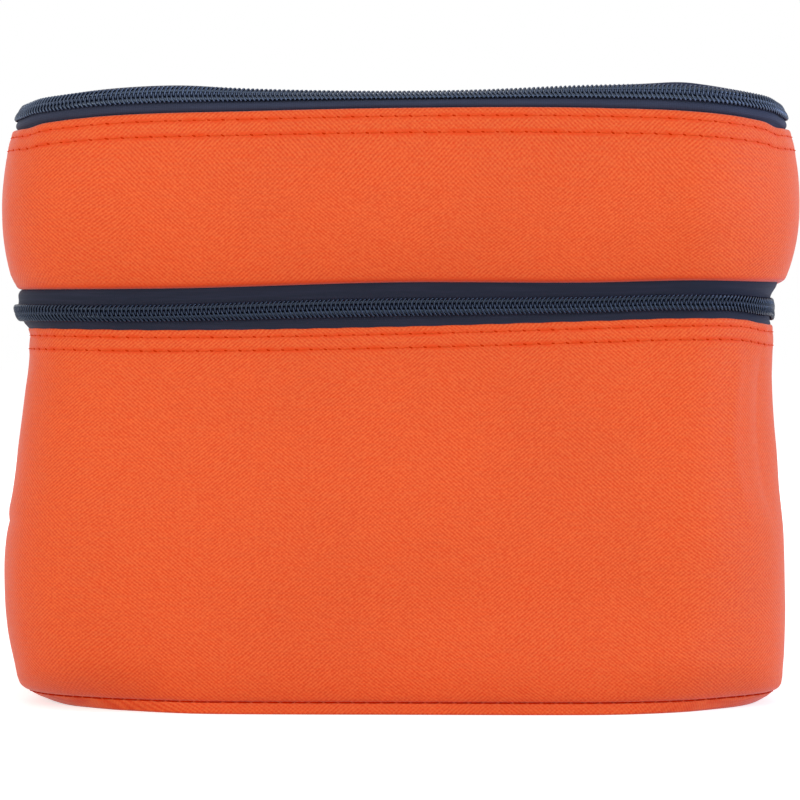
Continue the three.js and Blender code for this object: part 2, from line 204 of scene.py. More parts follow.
# Sliders and pulls: both plates, the bridge, the neck, the lips along the outer plate, and the pull's holes
INNER_PLATE = 1.0
OUTER_PLATE = 1.2
BRIDGE_RISE = 2.4
BRIDGE_HALF = 0.9
NECK_HALF = 0.28
LIP_WIDTH = 0.55
LIP_DROP = 0.85
SLOT_HALF = 1.4
END_HOLE = 1.1
CORNER_STEPS = 5
SHARP_EDGE = math.radians(60)

# Carry handle: its sewn ends, the strap's thickness, its slack shoulders and its stitches
HANDLE_PATCH = 20.0
STRAP = 1.6
SHOULDER_AT = 0.80
SHOULDER_WIDTH = 0.16
PATCH_INSET = 2.5
PATCH_STITCH = 3.2
PATCH_THREAD = 2.3

# Stage
FRONT_PLANE = -79.0
CAMERA_DISTANCE = 1100.0
EYE_HEIGHT = 114.0
AIM_HEIGHT = 88.3
FRAME_WIDTH = 0.2795 * 800
SENSOR = 36.0
AMBIENT = 0.55
LIGHTS_AIM = 0.09
FLOOR_LIFT = 0.62
FLOOR_HALF = 6.0
FLOOR_DROP = 0.00005

# Lights: name, place, size, power and colour, in metres and watts
LIGHTS = (
    ("key", (-0.15, -1.7, 1.0), 1.4, 7.3, (1.0, 1.0, 1.0)),
    ("left_fill", (-1.2, -1.1, 0.46), 0.9, 7.6, (1.0, 0.93, 0.82)),
    ("right_fill", (1.4, -0.4, 0.5), 0.9, 10.5, (0.78, 0.92, 1.28)),
    ("back_fill", (-0.3, 1.7, 0.7), 1.3, 7.0, (1.0, 1.0, 1.0)),
)


def cad(node):
    low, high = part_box(node)
    return np.array(low) / MM, np.array(high) / MM


base_low, base_high = cad("base_panel")
half_width = base_high[0]
front_y, back_y = base_low[1], base_high[1]
base_rise = base_high[2] + SEAM_RISE


def band_of(node, peak_height, **form):
    """The heights of a compartment's band, and the form of its swell."""
    low, high = cad(node)
    return SimpleNamespace(bottom=low[2], top=high[2], peak_z=low[2] + peak_height, **form)


LOWER = band_of(
    "lower_band", foot=0.0, peak=5.3, peak_height=32.0, brow=0.0, fall=2.3,
    turn=0.5, drawn_in=0.0, tucked=1.0
)
UPPER = band_of(
    "upper_band", foot=2.0, peak=7.6, peak_height=21.5, brow=4.3, fall=0.75,
    turn=1.1, drawn_in=BROW_IN, tucked=0.0
)
LOWER.bottom += SEAM_RISE
BANDS = {"lower": LOWER, "upper": UPPER}
mid_z = (cad("mid_zip_lower_coil")[1][2] + cad("mid_zip_upper_coil")[0][2]) / 2
mid_face = cad("mid_zip_lower_tape")[1][0] - half_width
lid_edge = cad("lid_panel")[1][0] - half_width
lid_bottom, lid_top = cad("lid_panel")[0][2], cad("lid_panel")[1][2]
lid_rim = lid_edge + HEM_LAP


def smooth(value, low, high):
    t = np.clip((np.asarray(value, float) - low) / (high - low), 0, 1)
    return t * t * (3 - 2 * t)


def eased(value, knots):
    """A smooth curve through knots, level at each end."""
    x, y = np.array(knots, float).T
    slope = np.gradient(y, x)
    slope[[0, -1]] = 0
    at = np.clip(value, x[0], x[-1])
    k = np.clip(np.searchsorted(x, at, side="right") - 1, 0, len(x) - 2)
    gap = x[k + 1] - x[k]
    t = (at - x[k]) / gap
    rise = (1 + 2 * t) * (1 - t) ** 2 * y[k] + t * t * (3 - 2 * t) * y[k + 1]
    return rise + gap * (t * (1 - t) ** 2 * slope[k] + t * t * (t - 1) * slope[k + 1])


def unit(vectors):
    return vectors / np.linalg.norm(vectors, axis=-1, keepdims=True)


def paired(first, second):
    """Two coordinates as one grid of pairs."""
    return np.stack(np.broadcast_arrays(first, second), -1)


def run_along(first, second):
    """Distances along a line of points, from its first one."""
    return np.concatenate([[0], np.cumsum(np.hypot(np.diff(first), np.diff(second)))])


def ripples(points, wavelength, seed):
    """Soft seeded noise from about -1 to 1 over points."""
    draw = np.random.default_rng(seed)
    total = 0
    for _ in range(RIPPLE_WAVES):
        way = unit(draw.normal(size=3))
        size = wavelength * draw.uniform(0.7, 1.5)
        total = total + np.sin(points @ way * (2 * math.pi / size) + draw.uniform(0, 2 * math.pi))
    return total * RIPPLE_GAIN / RIPPLE_WAVES


# The zip line, anticlockwise from above, from the right end of the back
def arc_points(x, y, radius, first, last):
    angle = np.linspace(first, last, max(3, int(abs(last - first) * radius / PLAN_STEP)))
    out = np.stack([np.cos(angle), np.sin(angle)], 1)
    return np.hstack([np.array((x, y)) + radius * out, out])


def straight_points(start, end, out):
    t = np.linspace(0, 1, max(3, int(math.dist(start, end) / PLAN_STEP)))[:, None]
    return np.hstack([np.array(start) * (1 - t) + np.array(end) * t, np.tile(out, (len(t), 1))])


def plan_stretches():
    rear_x = half_width - REAR_CORNER
    rear_y = back_y - REAR_CORNER
    corner_x = half_width - FRONT_CORNER
    bow_y = front_y + FRONT_BOW
    corner_y = bow_y - math.sqrt((FRONT_BOW - FRONT_CORNER) ** 2 - corner_x**2)
    bow = math.asin(corner_x / (FRONT_BOW - FRONT_CORNER))
    front = 1.5 * math.pi
    return {
        "back": straight_points((rear_x, back_y), (-rear_x, back_y), (0, 1)),
        "rear_left": arc_points(-rear_x, rear_y, REAR_CORNER, math.pi / 2, math.pi),
        "left": straight_points((-half_width, rear_y), (-half_width, corner_y), (-1, 0)),
        "front_left": arc_points(-corner_x, corner_y, FRONT_CORNER, math.pi, front - bow),
        "front": arc_points(0, bow_y, FRONT_BOW, front - bow, front + bow),
        "front_right": arc_points(corner_x, corner_y, FRONT_CORNER, front + bow, 2 * math.pi),
        "right": straight_points((half_width, corner_y), (half_width, rear_y), (1, 0)),
        "rear_right": arc_points(rear_x, rear_y, REAR_CORNER, 0, math.pi / 2),
    }


stretches = plan_stretches()
plan_points = np.vstack(list(stretches.values()))
plan_s = run_along(plan_points[:, 0], plan_points[:, 1])
plan_length = plan_s[-1]
starts = np.cumsum([0] + [len(p) for p in stretches.values()])[:-1]
MARK = {name: plan_s[k] for name, k in zip(stretches, starts)}
SHELL = (MARK["rear_left"], plan_length)
ZIP = (MARK["left"], MARK["rear_right"])
HINGE = (MARK["rear_right"], plan_length + MARK["left"])
BACK = (0.0, MARK["rear_left"])
ALL_ROUND = (0.0, plan_length)
centre_y = (front_y + back_y) / 2
plan_middle = np.array([0.0, centre_y])


def plan_at(s):
    """Points on the zip line and their outward directions, at distances s along it."""
    s = np.mod(s, plan_length)
    x, y, out_x, out_y = (np.interp(s, plan_s, plan_points[:, k]) for k in range(4))
    size = np.hypot(out_x, out_y)
    return x, y, out_x / size, out_y / size


def outward(s):
    """Outward directions at distances s along the plan."""
    _, _, out_x, out_y = plan_at(s)
    return np.stack([out_x, out_y, 0 * out_x], -1)


def pushed(points, s, amount):
    """Points moved out from the plan by an amount."""
    return points + outward(s) * amount[..., None]


def around_plan(step):
    """Even distances round the whole plan, about a step apart."""
    return np.arange(0, plan_length, plan_length / int(plan_length / step))


def spaced(course, step, trim=0.0):
    """Even distances over a course of the plan, about a step apart."""
    first, last = course[0] + trim, course[1] - trim
    return np.linspace(first, last, max(3, int(round((last - first) / step)) + 1))


def swell(band, z, share):
    """How far a compartment stands out from the zip line at height z."""
    z = np.clip(z, band.bottom, band.top)
    chord = np.interp(z, (band.bottom, band.top), (band.foot, band.brow))
    below = np.clip((z - band.bottom) / (band.peak_z - band.bottom), 0, 1)
    above = np.clip((z - band.peak_z) / (band.top - band.peak_z), 0, 1)
    rise = band.foot + (band.peak - band.foot) * np.sin(math.pi / 2 * below) ** SWELL_RISE
    fall = band.brow + (band.peak - band.brow) * np.cos(math.pi / 2 * above) ** band.fall
    full = np.where(z < band.peak_z, rise, fall)
    return chord + share * (full - chord)


def share_at(y):
    return 1 + (BACK_SWELL - 1) * smooth(y, back_y - SWELL_FADE, back_y)


def at_front(x, y):
    """1 along the front, fading to 0 on the sides: early on the right, where the sliders run."""
    end = np.where(x > 0, RIGHT_END, LEFT_END)
    return 1 - smooth(y, front_y + SIDE_FADE, front_y + end)


def rim_foot(x, y):
    """How far the foot of the lid's zip stands out from the zip line."""
    return UPPER.brow - 0.35 - BROW_IN * at_front(x, y)


def rim_rise(x, y):
    return eased(x, RIM_RISE) * at_front(x, y)


def bulge_at(x, y):
    """Where the tape stands up past the chain before it turns down to the lid."""
    middle, spread, rise = TAPE_BULGE
    return rise * np.exp(-(((x - middle) / spread) ** 2)) * at_front(x, y)


def tilt_at(x, y):
    return np.radians(SIDE_TILT + (eased(x, ZIP_TILT) - SIDE_TILT) * at_front(x, y))


def settle(points, rim=1.0):
    """Shifts points as the filled bag settles: levels at the front, a lean, a full foot."""
    x, y, z = np.moveaxis(points, -1, 0)
    front = at_front(x, y)
    foot = UPPER.bottom
    levels = (LOWER.bottom + HEM_RISE_FROM, LOWER.top, mid_z, foot, foot + FOOT_RISE_TO, UPPER.top)
    zip_rises = [eased(x, rise) for rise in (HEM_RISE, CHAIN_RISE, FOOT_RISE)]
    rises = [0, *zip_rises, 0, rim * eased(x, RIM_RISE)]
    lift = np.zeros_like(z)
    for k in range(len(levels) - 1):
        t = smooth(z, levels[k], levels[k + 1])
        inside = (z >= levels[k]) & (z < levels[k + 1])
        lift = np.where(inside, rises[k] + (rises[k + 1] - rises[k]) * t, lift)
    lift = np.where(z >= levels[-1], rises[-1], lift)
    near_front = 1 - smooth(y, front_y, front_y + FORWARD_DEPTH)
    forward = eased(x, FOOT_FORWARD) * (1 - smooth(z, *FORWARD_FADE)) * near_front
    return np.stack([x + lean_at(x, y, z), y - forward, z + lift * front], -1)


def lean_at(x, y, z):
    across = (x + half_width) / (2 * half_width)
    sides = eased(z, LEFT_LEAN) * (1 - across) + eased(z, RIGHT_LEAN) * across
    return eased(z, LEAN) + sides * at_front(x, y)


def tuck_at(s, z):
    """How far the foot of the bag is drawn under at height z."""
    x, y, _, out_y = plan_at(s)
    facing = np.clip(-out_y, 0, 1)
    corner = smooth(np.abs(x), *TUCK_CORNER)
    beside = 1 - 0.4 * smooth(y, front_y + 30, front_y + 60)
    behind = 1 - 0.8 * smooth(y, back_y - 45, back_y - 5)
    most = np.interp(x, (-half_width, half_width), BASE_TUCK) * corner * beside * behind
    height = TUCK_HEIGHT * (1 + 0.8 * facing)
    sharpness = 3.5 - 1.9 * facing
    return most * np.clip(1 - z / height, 0, 1) ** sharpness


def place(s, out, z):
    """Points at distances s along the plan, standing out from it, at heights z."""
    s, out, z = np.broadcast_arrays(s, out, z)
    x, y, out_x, out_y = plan_at(s)
    return np.stack([x + out_x * out, y + out_y * out, z], -1)


def soft_dents(points, s, band):
    """Small hollows and swellings of the filled fabric, fading towards its edges."""
    z = points[..., 2]
    bottom, top = band.bottom, band.top
    inside = smooth(z, bottom, bottom + 14) * (1 - smooth(z, top - 16, top - 7))
    dents = sum(deep * ripples(points, wide, seed) for wide, seed, deep in DENTS)
    return inside * dents + corner_creases(s, z)


def corner_creases(s, z):
    """A fold down the right front corner of the lower compartment, and a short crease on the left one."""
    run = s - MARK["front_right"] - eased(z, RIGHT_FOLD)
    tall = smooth(z, 48, 64) * (1 - smooth(z, 92, 107))
    flat = np.interp(run, (0, 12, 27, 42), (0, 1.9, 0.7, 0))
    fold = tall * (0.4 * np.exp(-((run / 2.2) ** 2)) - flat)
    across = s - MARK["front_left"]
    wide = smooth(across, -14, 2) * (1 - smooth(across, 12, 26))
    above = z - LEFT_CREASE
    crease = 0.25 * np.exp(-(((above - 3.4) / 2.6) ** 2)) - 0.42 * np.exp(-((above / 1.8) ** 2))
    return fold + wide * crease


# Meshes
def quads_between(index, around):
    """Faces over a grid of vertex numbers; around joins the last column to the first."""
    if around:
        index = np.vstack([index, index[:1]])
    faces = np.stack([index[:-1, :-1], index[1:, :-1], index[1:, 1:], index[:-1, 1:]], -1)
    return faces.reshape(-1, 4)


def grid_uv(uv, around):
    if around:
        uv = np.concatenate([uv, uv[:1] + (uv[1:2] - uv[:1]) * len(uv)])
    corners = np.stack([uv[:-1, :-1], uv[1:, :-1], uv[1:, 1:], uv[:-1, 1:]], 2)
    return corners.reshape(-1, 4, 2)


def reworked(mesh, *jobs):
    """Changes a mesh by jobs that take its editable form."""
    work = bmesh.new()
    work.from_mesh(mesh)
    for job in jobs:
        job(work)
    work.to_mesh(mesh)
    work.free()


def weld(work):
    bmesh.ops.remove_doubles(work, verts=work.verts, dist=WELD)


def clear_slivers(work):
    bmesh.ops.dissolve_degenerate(work, edges=work.edges, dist=WELD / 10)


def face_out(work):
    bmesh.ops.recalc_face_normals(work, faces=work.faces)


def smoothed(mesh, sharp):
    mesh.shade_smooth()
    mesh.set_sharp_from_angle(angle=math.radians(sharp))


def made_mesh(name, points, faces, maps, sharp=50.0, jobs=()):
    """A mesh in metres from millimetre points, with its texture maps given per face corner."""
    mesh = bpy.data.meshes.new(name)
    mesh.from_pydata((np.asarray(points).reshape(-1, 3) * MM).tolist(), [], np.asarray(faces).tolist())
    for key, corners in maps.items():
        layer = mesh.uv_layers.new(name=key)
        layer.data.foreach_set("uv", np.asarray(corners, np.float32).ravel())
    if jobs:
        reworked(mesh, *jobs)
    mesh.update()
    smoothed(mesh, sharp)
    return mesh


def sheet_mesh(name, outer, inner, maps, around=False):
    """A closed sheet between two grids of points of one layout."""
    columns, rows = outer.shape[:2]
    front = np.arange(columns * rows).reshape(columns, rows)
    back = front + columns * rows
    faces = [quads_between(front, around), quads_between(back, around)[:, ::-1]]
    corners = {key: [grid_uv(uv, around), grid_uv(uv, around)[:, ::-1]] for key, uv in maps.items()}

    def rim(first, second, loop, edge):
        pair = np.stack([first, second], 1)
        faces.append(quads_between(pair, loop))
        for key, uv in maps.items():
            line = edge(uv)
            corners[key].append(grid_uv(np.stack([line, line], 1), loop))

    rim(back[:, 0], front[:, 0], around, lambda uv: uv[:, 0])
    rim(front[:, -1], back[:, -1], around, lambda uv: uv[:, -1])
    if not around:
        rim(front[0], back[0], False, lambda uv: uv[0])
        rim(back[-1], front[-1], False, lambda uv: uv[-1])
    points = np.concatenate([outer.reshape(-1, 3), inner.reshape(-1, 3)])
    joined = {key: np.concatenate(parts) for key, parts in corners.items()}
    return made_mesh(name, points, np.concatenate(faces), joined)


def piece(name, mesh, material, body, nodes=()):
    made = bpy.data.objects.new(name, mesh)
    bpy.context.scene.collection.objects.link(made)
    mesh.materials.append(material)
    if body:
        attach(made, body)
    if nodes:
        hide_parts(*nodes)
    return made


# Materials
class Nodes:
    """A node tree, and the nodes that materials and the world are made of."""

    def __init__(self, tree):
        self.tree = tree

    def node(self, kind, values=None, **settings):
        made = self.tree.nodes.new("ShaderNode" + kind)
        for key, value in settings.items():
            setattr(made, key, value)
        for key, value in (values or {}).items():
            self.feed(made.inputs[key], value)
        return made

    def feed(self, socket, value):
        if isinstance(value, bpy.types.NodeSocket):
            self.tree.links.new(value, socket)
        elif socket.type == "VECTOR":
            socket.default_value = value[:3]
        else:
            socket.default_value = value

    def sum(self, operation, *values):
        made = self.node("Math", operation=operation)
        for socket, value in zip(made.inputs, values):
            self.feed(socket, value)
        return made.outputs[0]

    def map(self, layer):
        """The two coordinates of a texture map, in millimetres."""
        source = self.node("UVMap", uv_map=layer)
        split = self.node("SeparateXYZ", {"Vector": source.outputs["UV"]})
        return split.outputs["X"], split.outputs["Y"]

    def place(self):
        return self.node("TexCoord").outputs["Object"]

    def noise(self, scale, detail=2.0, vector=None, rough=0.5):
        values = {"Vector": vector or self.place(), "Scale": scale, "Detail": detail, "Roughness": rough}
        return self.node("TexNoise", values).outputs["Fac"]

    def wave(self, value, pitch):
        """A sine from 0 to 1 that repeats every pitch."""
        turned = self.sum("SINE", self.sum("MULTIPLY", value, 2 * math.pi / pitch))
        return self.sum("MULTIPLY_ADD", turned, 0.5, 0.5)

    def ramp(self, value, low, high, to_low=0.0, to_high=1.0):
        values = {"Value": value, "From Min": low, "From Max": high, "To Min": to_low, "To Max": to_high}
        return self.node("MapRange", values, interpolation_type="SMOOTHSTEP").outputs["Result"]

    def mix(self, factor, first, second):
        made = self.node("Mix", data_type="RGBA")
        colours = [s for s in made.inputs if s.type == "RGBA"]
        self.feed(made.inputs["Factor"], factor)
        self.feed(colours[0], first)
        self.feed(colours[1], second)
        return next(s for s in made.outputs if s.type == "RGBA")

    def shade(self, colour, factor):
        """A colour made lighter or darker by a factor round 1."""
        made = self.node("VectorMath", operation="SCALE")
        self.feed(made.inputs[0], colour)
        self.feed(made.inputs["Scale"], factor)
        return made.outputs[0]

    def seen_directly(self):
        """1 for rays from the camera, and for those that metal or glass sends on."""
        path = self.node("LightPath")
        sent_on = self.sum("MAXIMUM", path.outputs["Is Camera Ray"], path.outputs["Is Glossy Ray"])
        return self.sum("MAXIMUM", sent_on, path.outputs["Is Transmission Ray"])


class Shader(Nodes):
    """A node material with one Principled surface."""

    def __init__(self, name, **constants):
        self.material = bpy.data.materials.new(name)
        self.material.use_nodes = True
        super().__init__(self.material.node_tree)
        self.surface = self.tree.nodes["Principled BSDF"]
        for key, value in constants.items():
            self.surface.inputs[key.replace("_", " ")].default_value = value

    def finish(self, colour, roughness=None, height=None, depth=0.0002, strength=0.6):
        self.feed(self.surface.inputs["Base Color"], colour)
        if roughness is not None:
            self.feed(self.surface.inputs["Roughness"], roughness)
        if height is not None:
            bump = self.node("Bump", {"Height": height, "Distance": depth, "Strength": strength})
            self.tree.links.new(bump.outputs["Normal"], self.surface.inputs["Normal"])
        return self.material


def rgb(red, green, blue):
    return (red, green, blue, 1.0)


ORANGE_DARK = rgb(0.695, 0.044, 0.0)
ORANGE_LIGHT = rgb(0.830, 0.146, 0.032)
# Painted shade of the orange, for the grooves of the stitch rows and the turned foot of the upper band
ORANGE_PAINTED_SHADE = rgb(0.76, 0.056, 0.0)
# Navy for the zips as lit and shaded copies of one colour: painted shade on the middle zip's tape in its
# recess, and painted light on the lid zip's tape and coil, which face up
SHADED_MID_TAPE = rgb(0.018, 0.022, 0.040)
SHADED_MID_TAPE_LIGHT = rgb(0.024, 0.027, 0.050)
LIT_TOP_TAPE = rgb(0.033, 0.040, 0.071)
LIT_TOP_TAPE_LIGHT = rgb(0.040, 0.047, 0.083)
NAVY_COIL = rgb(0.007, 0.010, 0.024)
NAVY_COIL_LIGHT = rgb(0.015, 0.021, 0.040)
LIT_TOP_COIL = rgb(0.016, 0.023, 0.050)
LIT_TOP_COIL_LIGHT = rgb(0.030, 0.042, 0.080)
# Near-black: painted shade in the gaps between a coil's turns
NAVY_GAP_SHADE = rgb(0.003, 0.004, 0.009)


def shell_fabric():
    """Orange polyester: fine diagonal weave, uneven yarns, and a deeper orange painted as shade along the
    seams.
    """
    s = Shader(
        "shell_fabric",
        Specular_IOR_Level=0.26,
        Sheen_Weight=0.30,
        Sheen_Roughness=0.40,
        Sheen_Tint=rgb(1.0, 0.74, 0.80),
    )
    u, v = s.map("weave")
    slanted = s.sum("MULTIPLY", u, WEAVE_SLANT)
    one_way = s.wave(s.sum("ADD", slanted, v), WEAVE)
    other_way = s.wave(s.sum("SUBTRACT", slanted, v), WEAVE)
    drift = s.ramp(s.noise(38.0, 1.0), 0.40, 0.60, 0.22, 0.78)
    twill = s.sum("MULTIPLY_ADD", s.sum("SUBTRACT", one_way, other_way), drift, other_way)
    yarn = s.node("CombineXYZ", {"X": s.sum("MULTIPLY", u, 0.16), "Y": s.sum("MULTIPLY", v, 2.2)}).outputs[0]
    slub = s.noise(1.0, 2.0, yarn)
    patch = s.noise(22.0, 3.0)
    tone = s.sum("ADD", s.ramp(slub, 0.3, 0.7, 0.975, 1.025), s.ramp(patch, 0.3, 0.7, -0.02, 0.02))
    depth, above_foot = s.map("edges")
    # Painted shade: a deeper colour, unevenly, in the grooves along the stitch rows and along the upper
    # band's turned foot
    rows = [s.sum("SUBTRACT", depth, row) for row in HEM_ROWS]
    off_row = s.sum("MINIMUM", *[s.sum("ABSOLUTE", row) for row in rows])
    uneven = s.ramp(s.noise(260.0, 1.0), 0.35, 0.65, 0.35, 1.0)
    line = s.sum("MULTIPLY", s.ramp(off_row, 0.25, 1.15, 0.9, 0.0), uneven)
    line = s.sum("MAXIMUM", line, s.ramp(above_foot, 0.3, 1.9, 0.85, 0.0))
    grain = s.ramp(s.noise(1500.0, 2.0), 0.32, 0.68)
    yarns = s.sum("MULTIPLY_ADD", s.sum("SUBTRACT", grain, twill), 0.33, twill)
    colour = s.shade(s.mix(yarns, ORANGE_DARK, ORANGE_LIGHT), tone)
    # The painted shade mixed over the yarn colour
    colour = s.mix(line, colour, ORANGE_PAINTED_SHADE)
    height = s.sum("ADD", twill, s.sum("MULTIPLY", grain, 0.8))
    return s.finish(colour, s.ramp(slub, 0.3, 0.7, 0.60, 0.72), height, 0.00007, 0.6)


def thread(name, colour, dark, gloss):
    """Twisted sewing thread."""
    s = Shader(name, Specular_IOR_Level=gloss)
    u, v = s.map("weave")
    twist = s.wave(s.sum("ADD", u, s.sum("MULTIPLY", v, 0.6)), 0.32)
    return s.finish(s.mix(twist, dark, colour), 0.55, twist, 0.00005, 0.6)


def zip_tape(name, base, light):
    """Navy woven tape: fine ribs along the zip, with faint lighter streaks."""
    s = Shader(name, Specular_IOR_Level=0.12, Sheen_Weight=0.10, Sheen_Roughness=0.4,
               Sheen_Tint=rgb(0.72, 0.76, 1.0))
    u, v = s.map("weave")
    ribs = s.wave(v, 0.52)
    picks = s.wave(s.sum("ADD", u, s.sum("MULTIPLY", ribs, 0.2)), 0.62)
    along = s.node("CombineXYZ", {"X": s.sum("MULTIPLY", u, 0.05), "Y": s.sum("MULTIPLY", v, 0.9)}).outputs[0]
    streak = s.ramp(s.noise(1.0, 3.0, along), 0.42, 0.72)
    colour = s.mix(streak, base, light)
    weave = s.sum("MULTIPLY", ribs, picks)
    colour = s.shade(colour, s.ramp(weave, 0.0, 1.0, 0.86, 1.12))
    return s.finish(colour, 0.72, weave, 0.00007, 0.5)


def zip_coil(name, base, light, gloss):
    """Satin navy nylon, a little scuffed on its crests; the cord inside the turns is painted near-black as
    shade.
    """
    s = Shader(name, Specular_IOR_Level=gloss, Specular_Tint=rgb(0.55, 0.72, 1.0))
    _, girth = s.map("weave")
    scuff = s.ramp(s.noise(900.0, 3.0), 0.45, 0.75)
    colour = s.mix(scuff, base, light)
    # Painted shade: the cord between the turns near-black, for the dark gaps between them
    colour = s.mix(s.ramp(girth, CORD_MARK - 2, CORD_MARK - 1), colour, NAVY_GAP_SHADE)
    return s.finish(colour, s.ramp(scuff, 0.0, 1.0, 0.22, 0.34), scuff, 0.00002, 0.3)


def foam_cells():
    """White closed-cell foam."""
    s = Shader("foam_cells", Specular_IOR_Level=0.3)
    cells = s.node("TexVoronoi", {"Vector": s.place(), "Scale": 620.0}).outputs["Distance"]
    blotch = s.noise(90.0, 2.0)
    colour = s.shade(rgb(0.82, 0.82, 0.80), s.ramp(blotch, 0.3, 0.7, 0.94, 1.04))
    return s.finish(colour, 0.85, cells, 0.0003, 0.5)


def liner_film():
    """Silver-grey wipe-clean film with soft creases, painted darker along them as shade, and a faint grain.
    """
    s = Shader("liner_film", Specular_IOR_Level=0.5, Coat_Weight=0.15, Coat_Roughness=0.3)
    creases = s.noise(55.0, 4.0, rough=0.62)
    folds = s.sum("ABSOLUTE", s.sum("SUBTRACT", creases, 0.5))
    grain = s.noise(1800.0, 1.0)
    # Painted shade: the colour a little darker along the crease lines
    tone = s.sum("ADD", s.ramp(folds, 0.0, 0.12, 0.93, 1.03), s.ramp(grain, 0.3, 0.7, -0.015, 0.015))
    height = s.sum("ADD", s.ramp(folds, 0.0, 0.10), s.sum("MULTIPLY", grain, 0.06))
    colour = s.shade(rgb(0.62, 0.64, 0.66), tone)
    return s.finish(colour, s.ramp(creases, 0.3, 0.7, 0.30, 0.44), height, 0.0007, 0.5)


def ribbon_weave():
    """Navy grosgrain: strong ribs across the ribbon."""
    s = Shader("ribbon_weave", Specular_IOR_Level=0.25, Sheen_Weight=0.25, Sheen_Roughness=0.4)
    u, v = s.map("weave")
    ribs = s.wave(u, 0.75)
    fuzz = s.noise(700.0, 2.0)
    tone = s.sum("ADD", s.ramp(ribs, 0.0, 1.0, 0.72, 1.15), s.ramp(fuzz, 0.3, 0.7, -0.06, 0.06))
    height = s.sum("ADD", ribs, s.sum("MULTIPLY", s.wave(v, 0.4), 0.25))
    return s.finish(s.shade(rgb(0.036, 0.040, 0.070), tone), 0.78, height, 0.00016, 0.6)


def slider_enamel():
    """Navy enamel on die-cast metal, with fine orange peel and rubbed spots."""
    s = Shader("slider_enamel", Specular_IOR_Level=0.5, Coat_Weight=0.5, Coat_Roughness=0.18)
    peel = s.noise(1100.0, 2.0)
    rub = s.ramp(s.noise(420.0, 4.0), 0.60, 0.75)
    colour = s.mix(rub, rgb(0.026, 0.030, 0.050), rgb(0.070, 0.076, 0.100))
    return s.finish(colour, s.ramp(rub, 0.0, 1.0, 0.34, 0.52), peel, 0.00004, 0.35)


def webbing_weave():
    """Navy webbing: raised chevrons between firm edges."""
    s = Shader("webbing_weave", Specular_IOR_Level=0.3, Sheen_Weight=0.3, Sheen_Roughness=0.4,
               Sheen_Tint=rgb(0.78, 0.76, 1.0))
    u, v = s.map("weave")
    panel = s.sum("PINGPONG", v, 3.1)
    chevron = s.wave(s.sum("ADD", u, panel), 1.5)
    ends = s.wave(v, 0.78)
    height = s.sum("ADD", chevron, s.sum("MULTIPLY", ends, 0.55))
    fluff = s.ramp(s.noise(500.0, 2.0), 0.3, 0.7, -0.05, 0.05)
    tone = s.sum("ADD", s.ramp(chevron, 0.0, 1.0, 0.76, 1.12), fluff)
    return s.finish(s.shade(rgb(0.036, 0.039, 0.070), tone), 0.74, height, 0.00022, 0.6)


CLOTH = shell_fabric()
ORANGE_THREAD = thread("orange_thread", rgb(0.82, 0.090, 0.008), rgb(0.74, 0.062, 0.003), 0.15)
# Darker thread for the needle holes: painted shade where the thread goes down into the fabric
HOLE_SHADE_THREAD = thread("hole_shade_thread", rgb(0.62, 0.032, 0.0), rgb(0.54, 0.024, 0.0), 0.0)
# Darker thread for the base seam: real thread, darkened as painted shade of the seam's groove
SEAM_SHADE_THREAD = thread("seam_shade_thread", rgb(0.62, 0.022, 0.0), rgb(0.48, 0.015, 0.0), 0.0)
NAVY_THREAD = thread("navy_thread", rgb(0.050, 0.054, 0.092), rgb(0.022, 0.025, 0.044), 0.15)
# The middle zip's tape darker and the lid zip's tape and coil lighter: painted shade and painted light
TAPE_CLOTH = {
    "mid": zip_tape("mid_zip_tape_painted_shade", SHADED_MID_TAPE, SHADED_MID_TAPE_LIGHT),
    "top": zip_tape("top_zip_tape_painted_light", LIT_TOP_TAPE, LIT_TOP_TAPE_LIGHT),
}
COIL_NYLON = {
    "mid": zip_coil("mid_zip_coil", NAVY_COIL, NAVY_COIL_LIGHT, 0.5),
    "top": zip_coil("top_zip_coil_painted_light", LIT_TOP_COIL, LIT_TOP_COIL_LIGHT, 1.0),
}
FOAM_CELLS = foam_cells()
FILM = liner_film()
RIBBON = ribbon_weave()
ENAMEL = slider_enamel()
WEBBING = webbing_weave()


# Stitching
def tube_faces(rings, sides):
    """Faces of a tube of rings of points, open at its ends."""
    index = np.arange(rings * sides).reshape(rings, sides)
    return quads_between(np.hstack([index, index[:, :1]]), False)


def rings_of(first, second, sides):
    """Angles round a tube, and the directions out of it there, from two directions square to it."""
    angle = np.linspace(0, 2 * math.pi, sides, endpoint=False)
    across, up = np.cos(angle)[:, None], np.sin(angle)[:, None]
    return angle, across * first[..., None, :] + up * second[..., None, :]


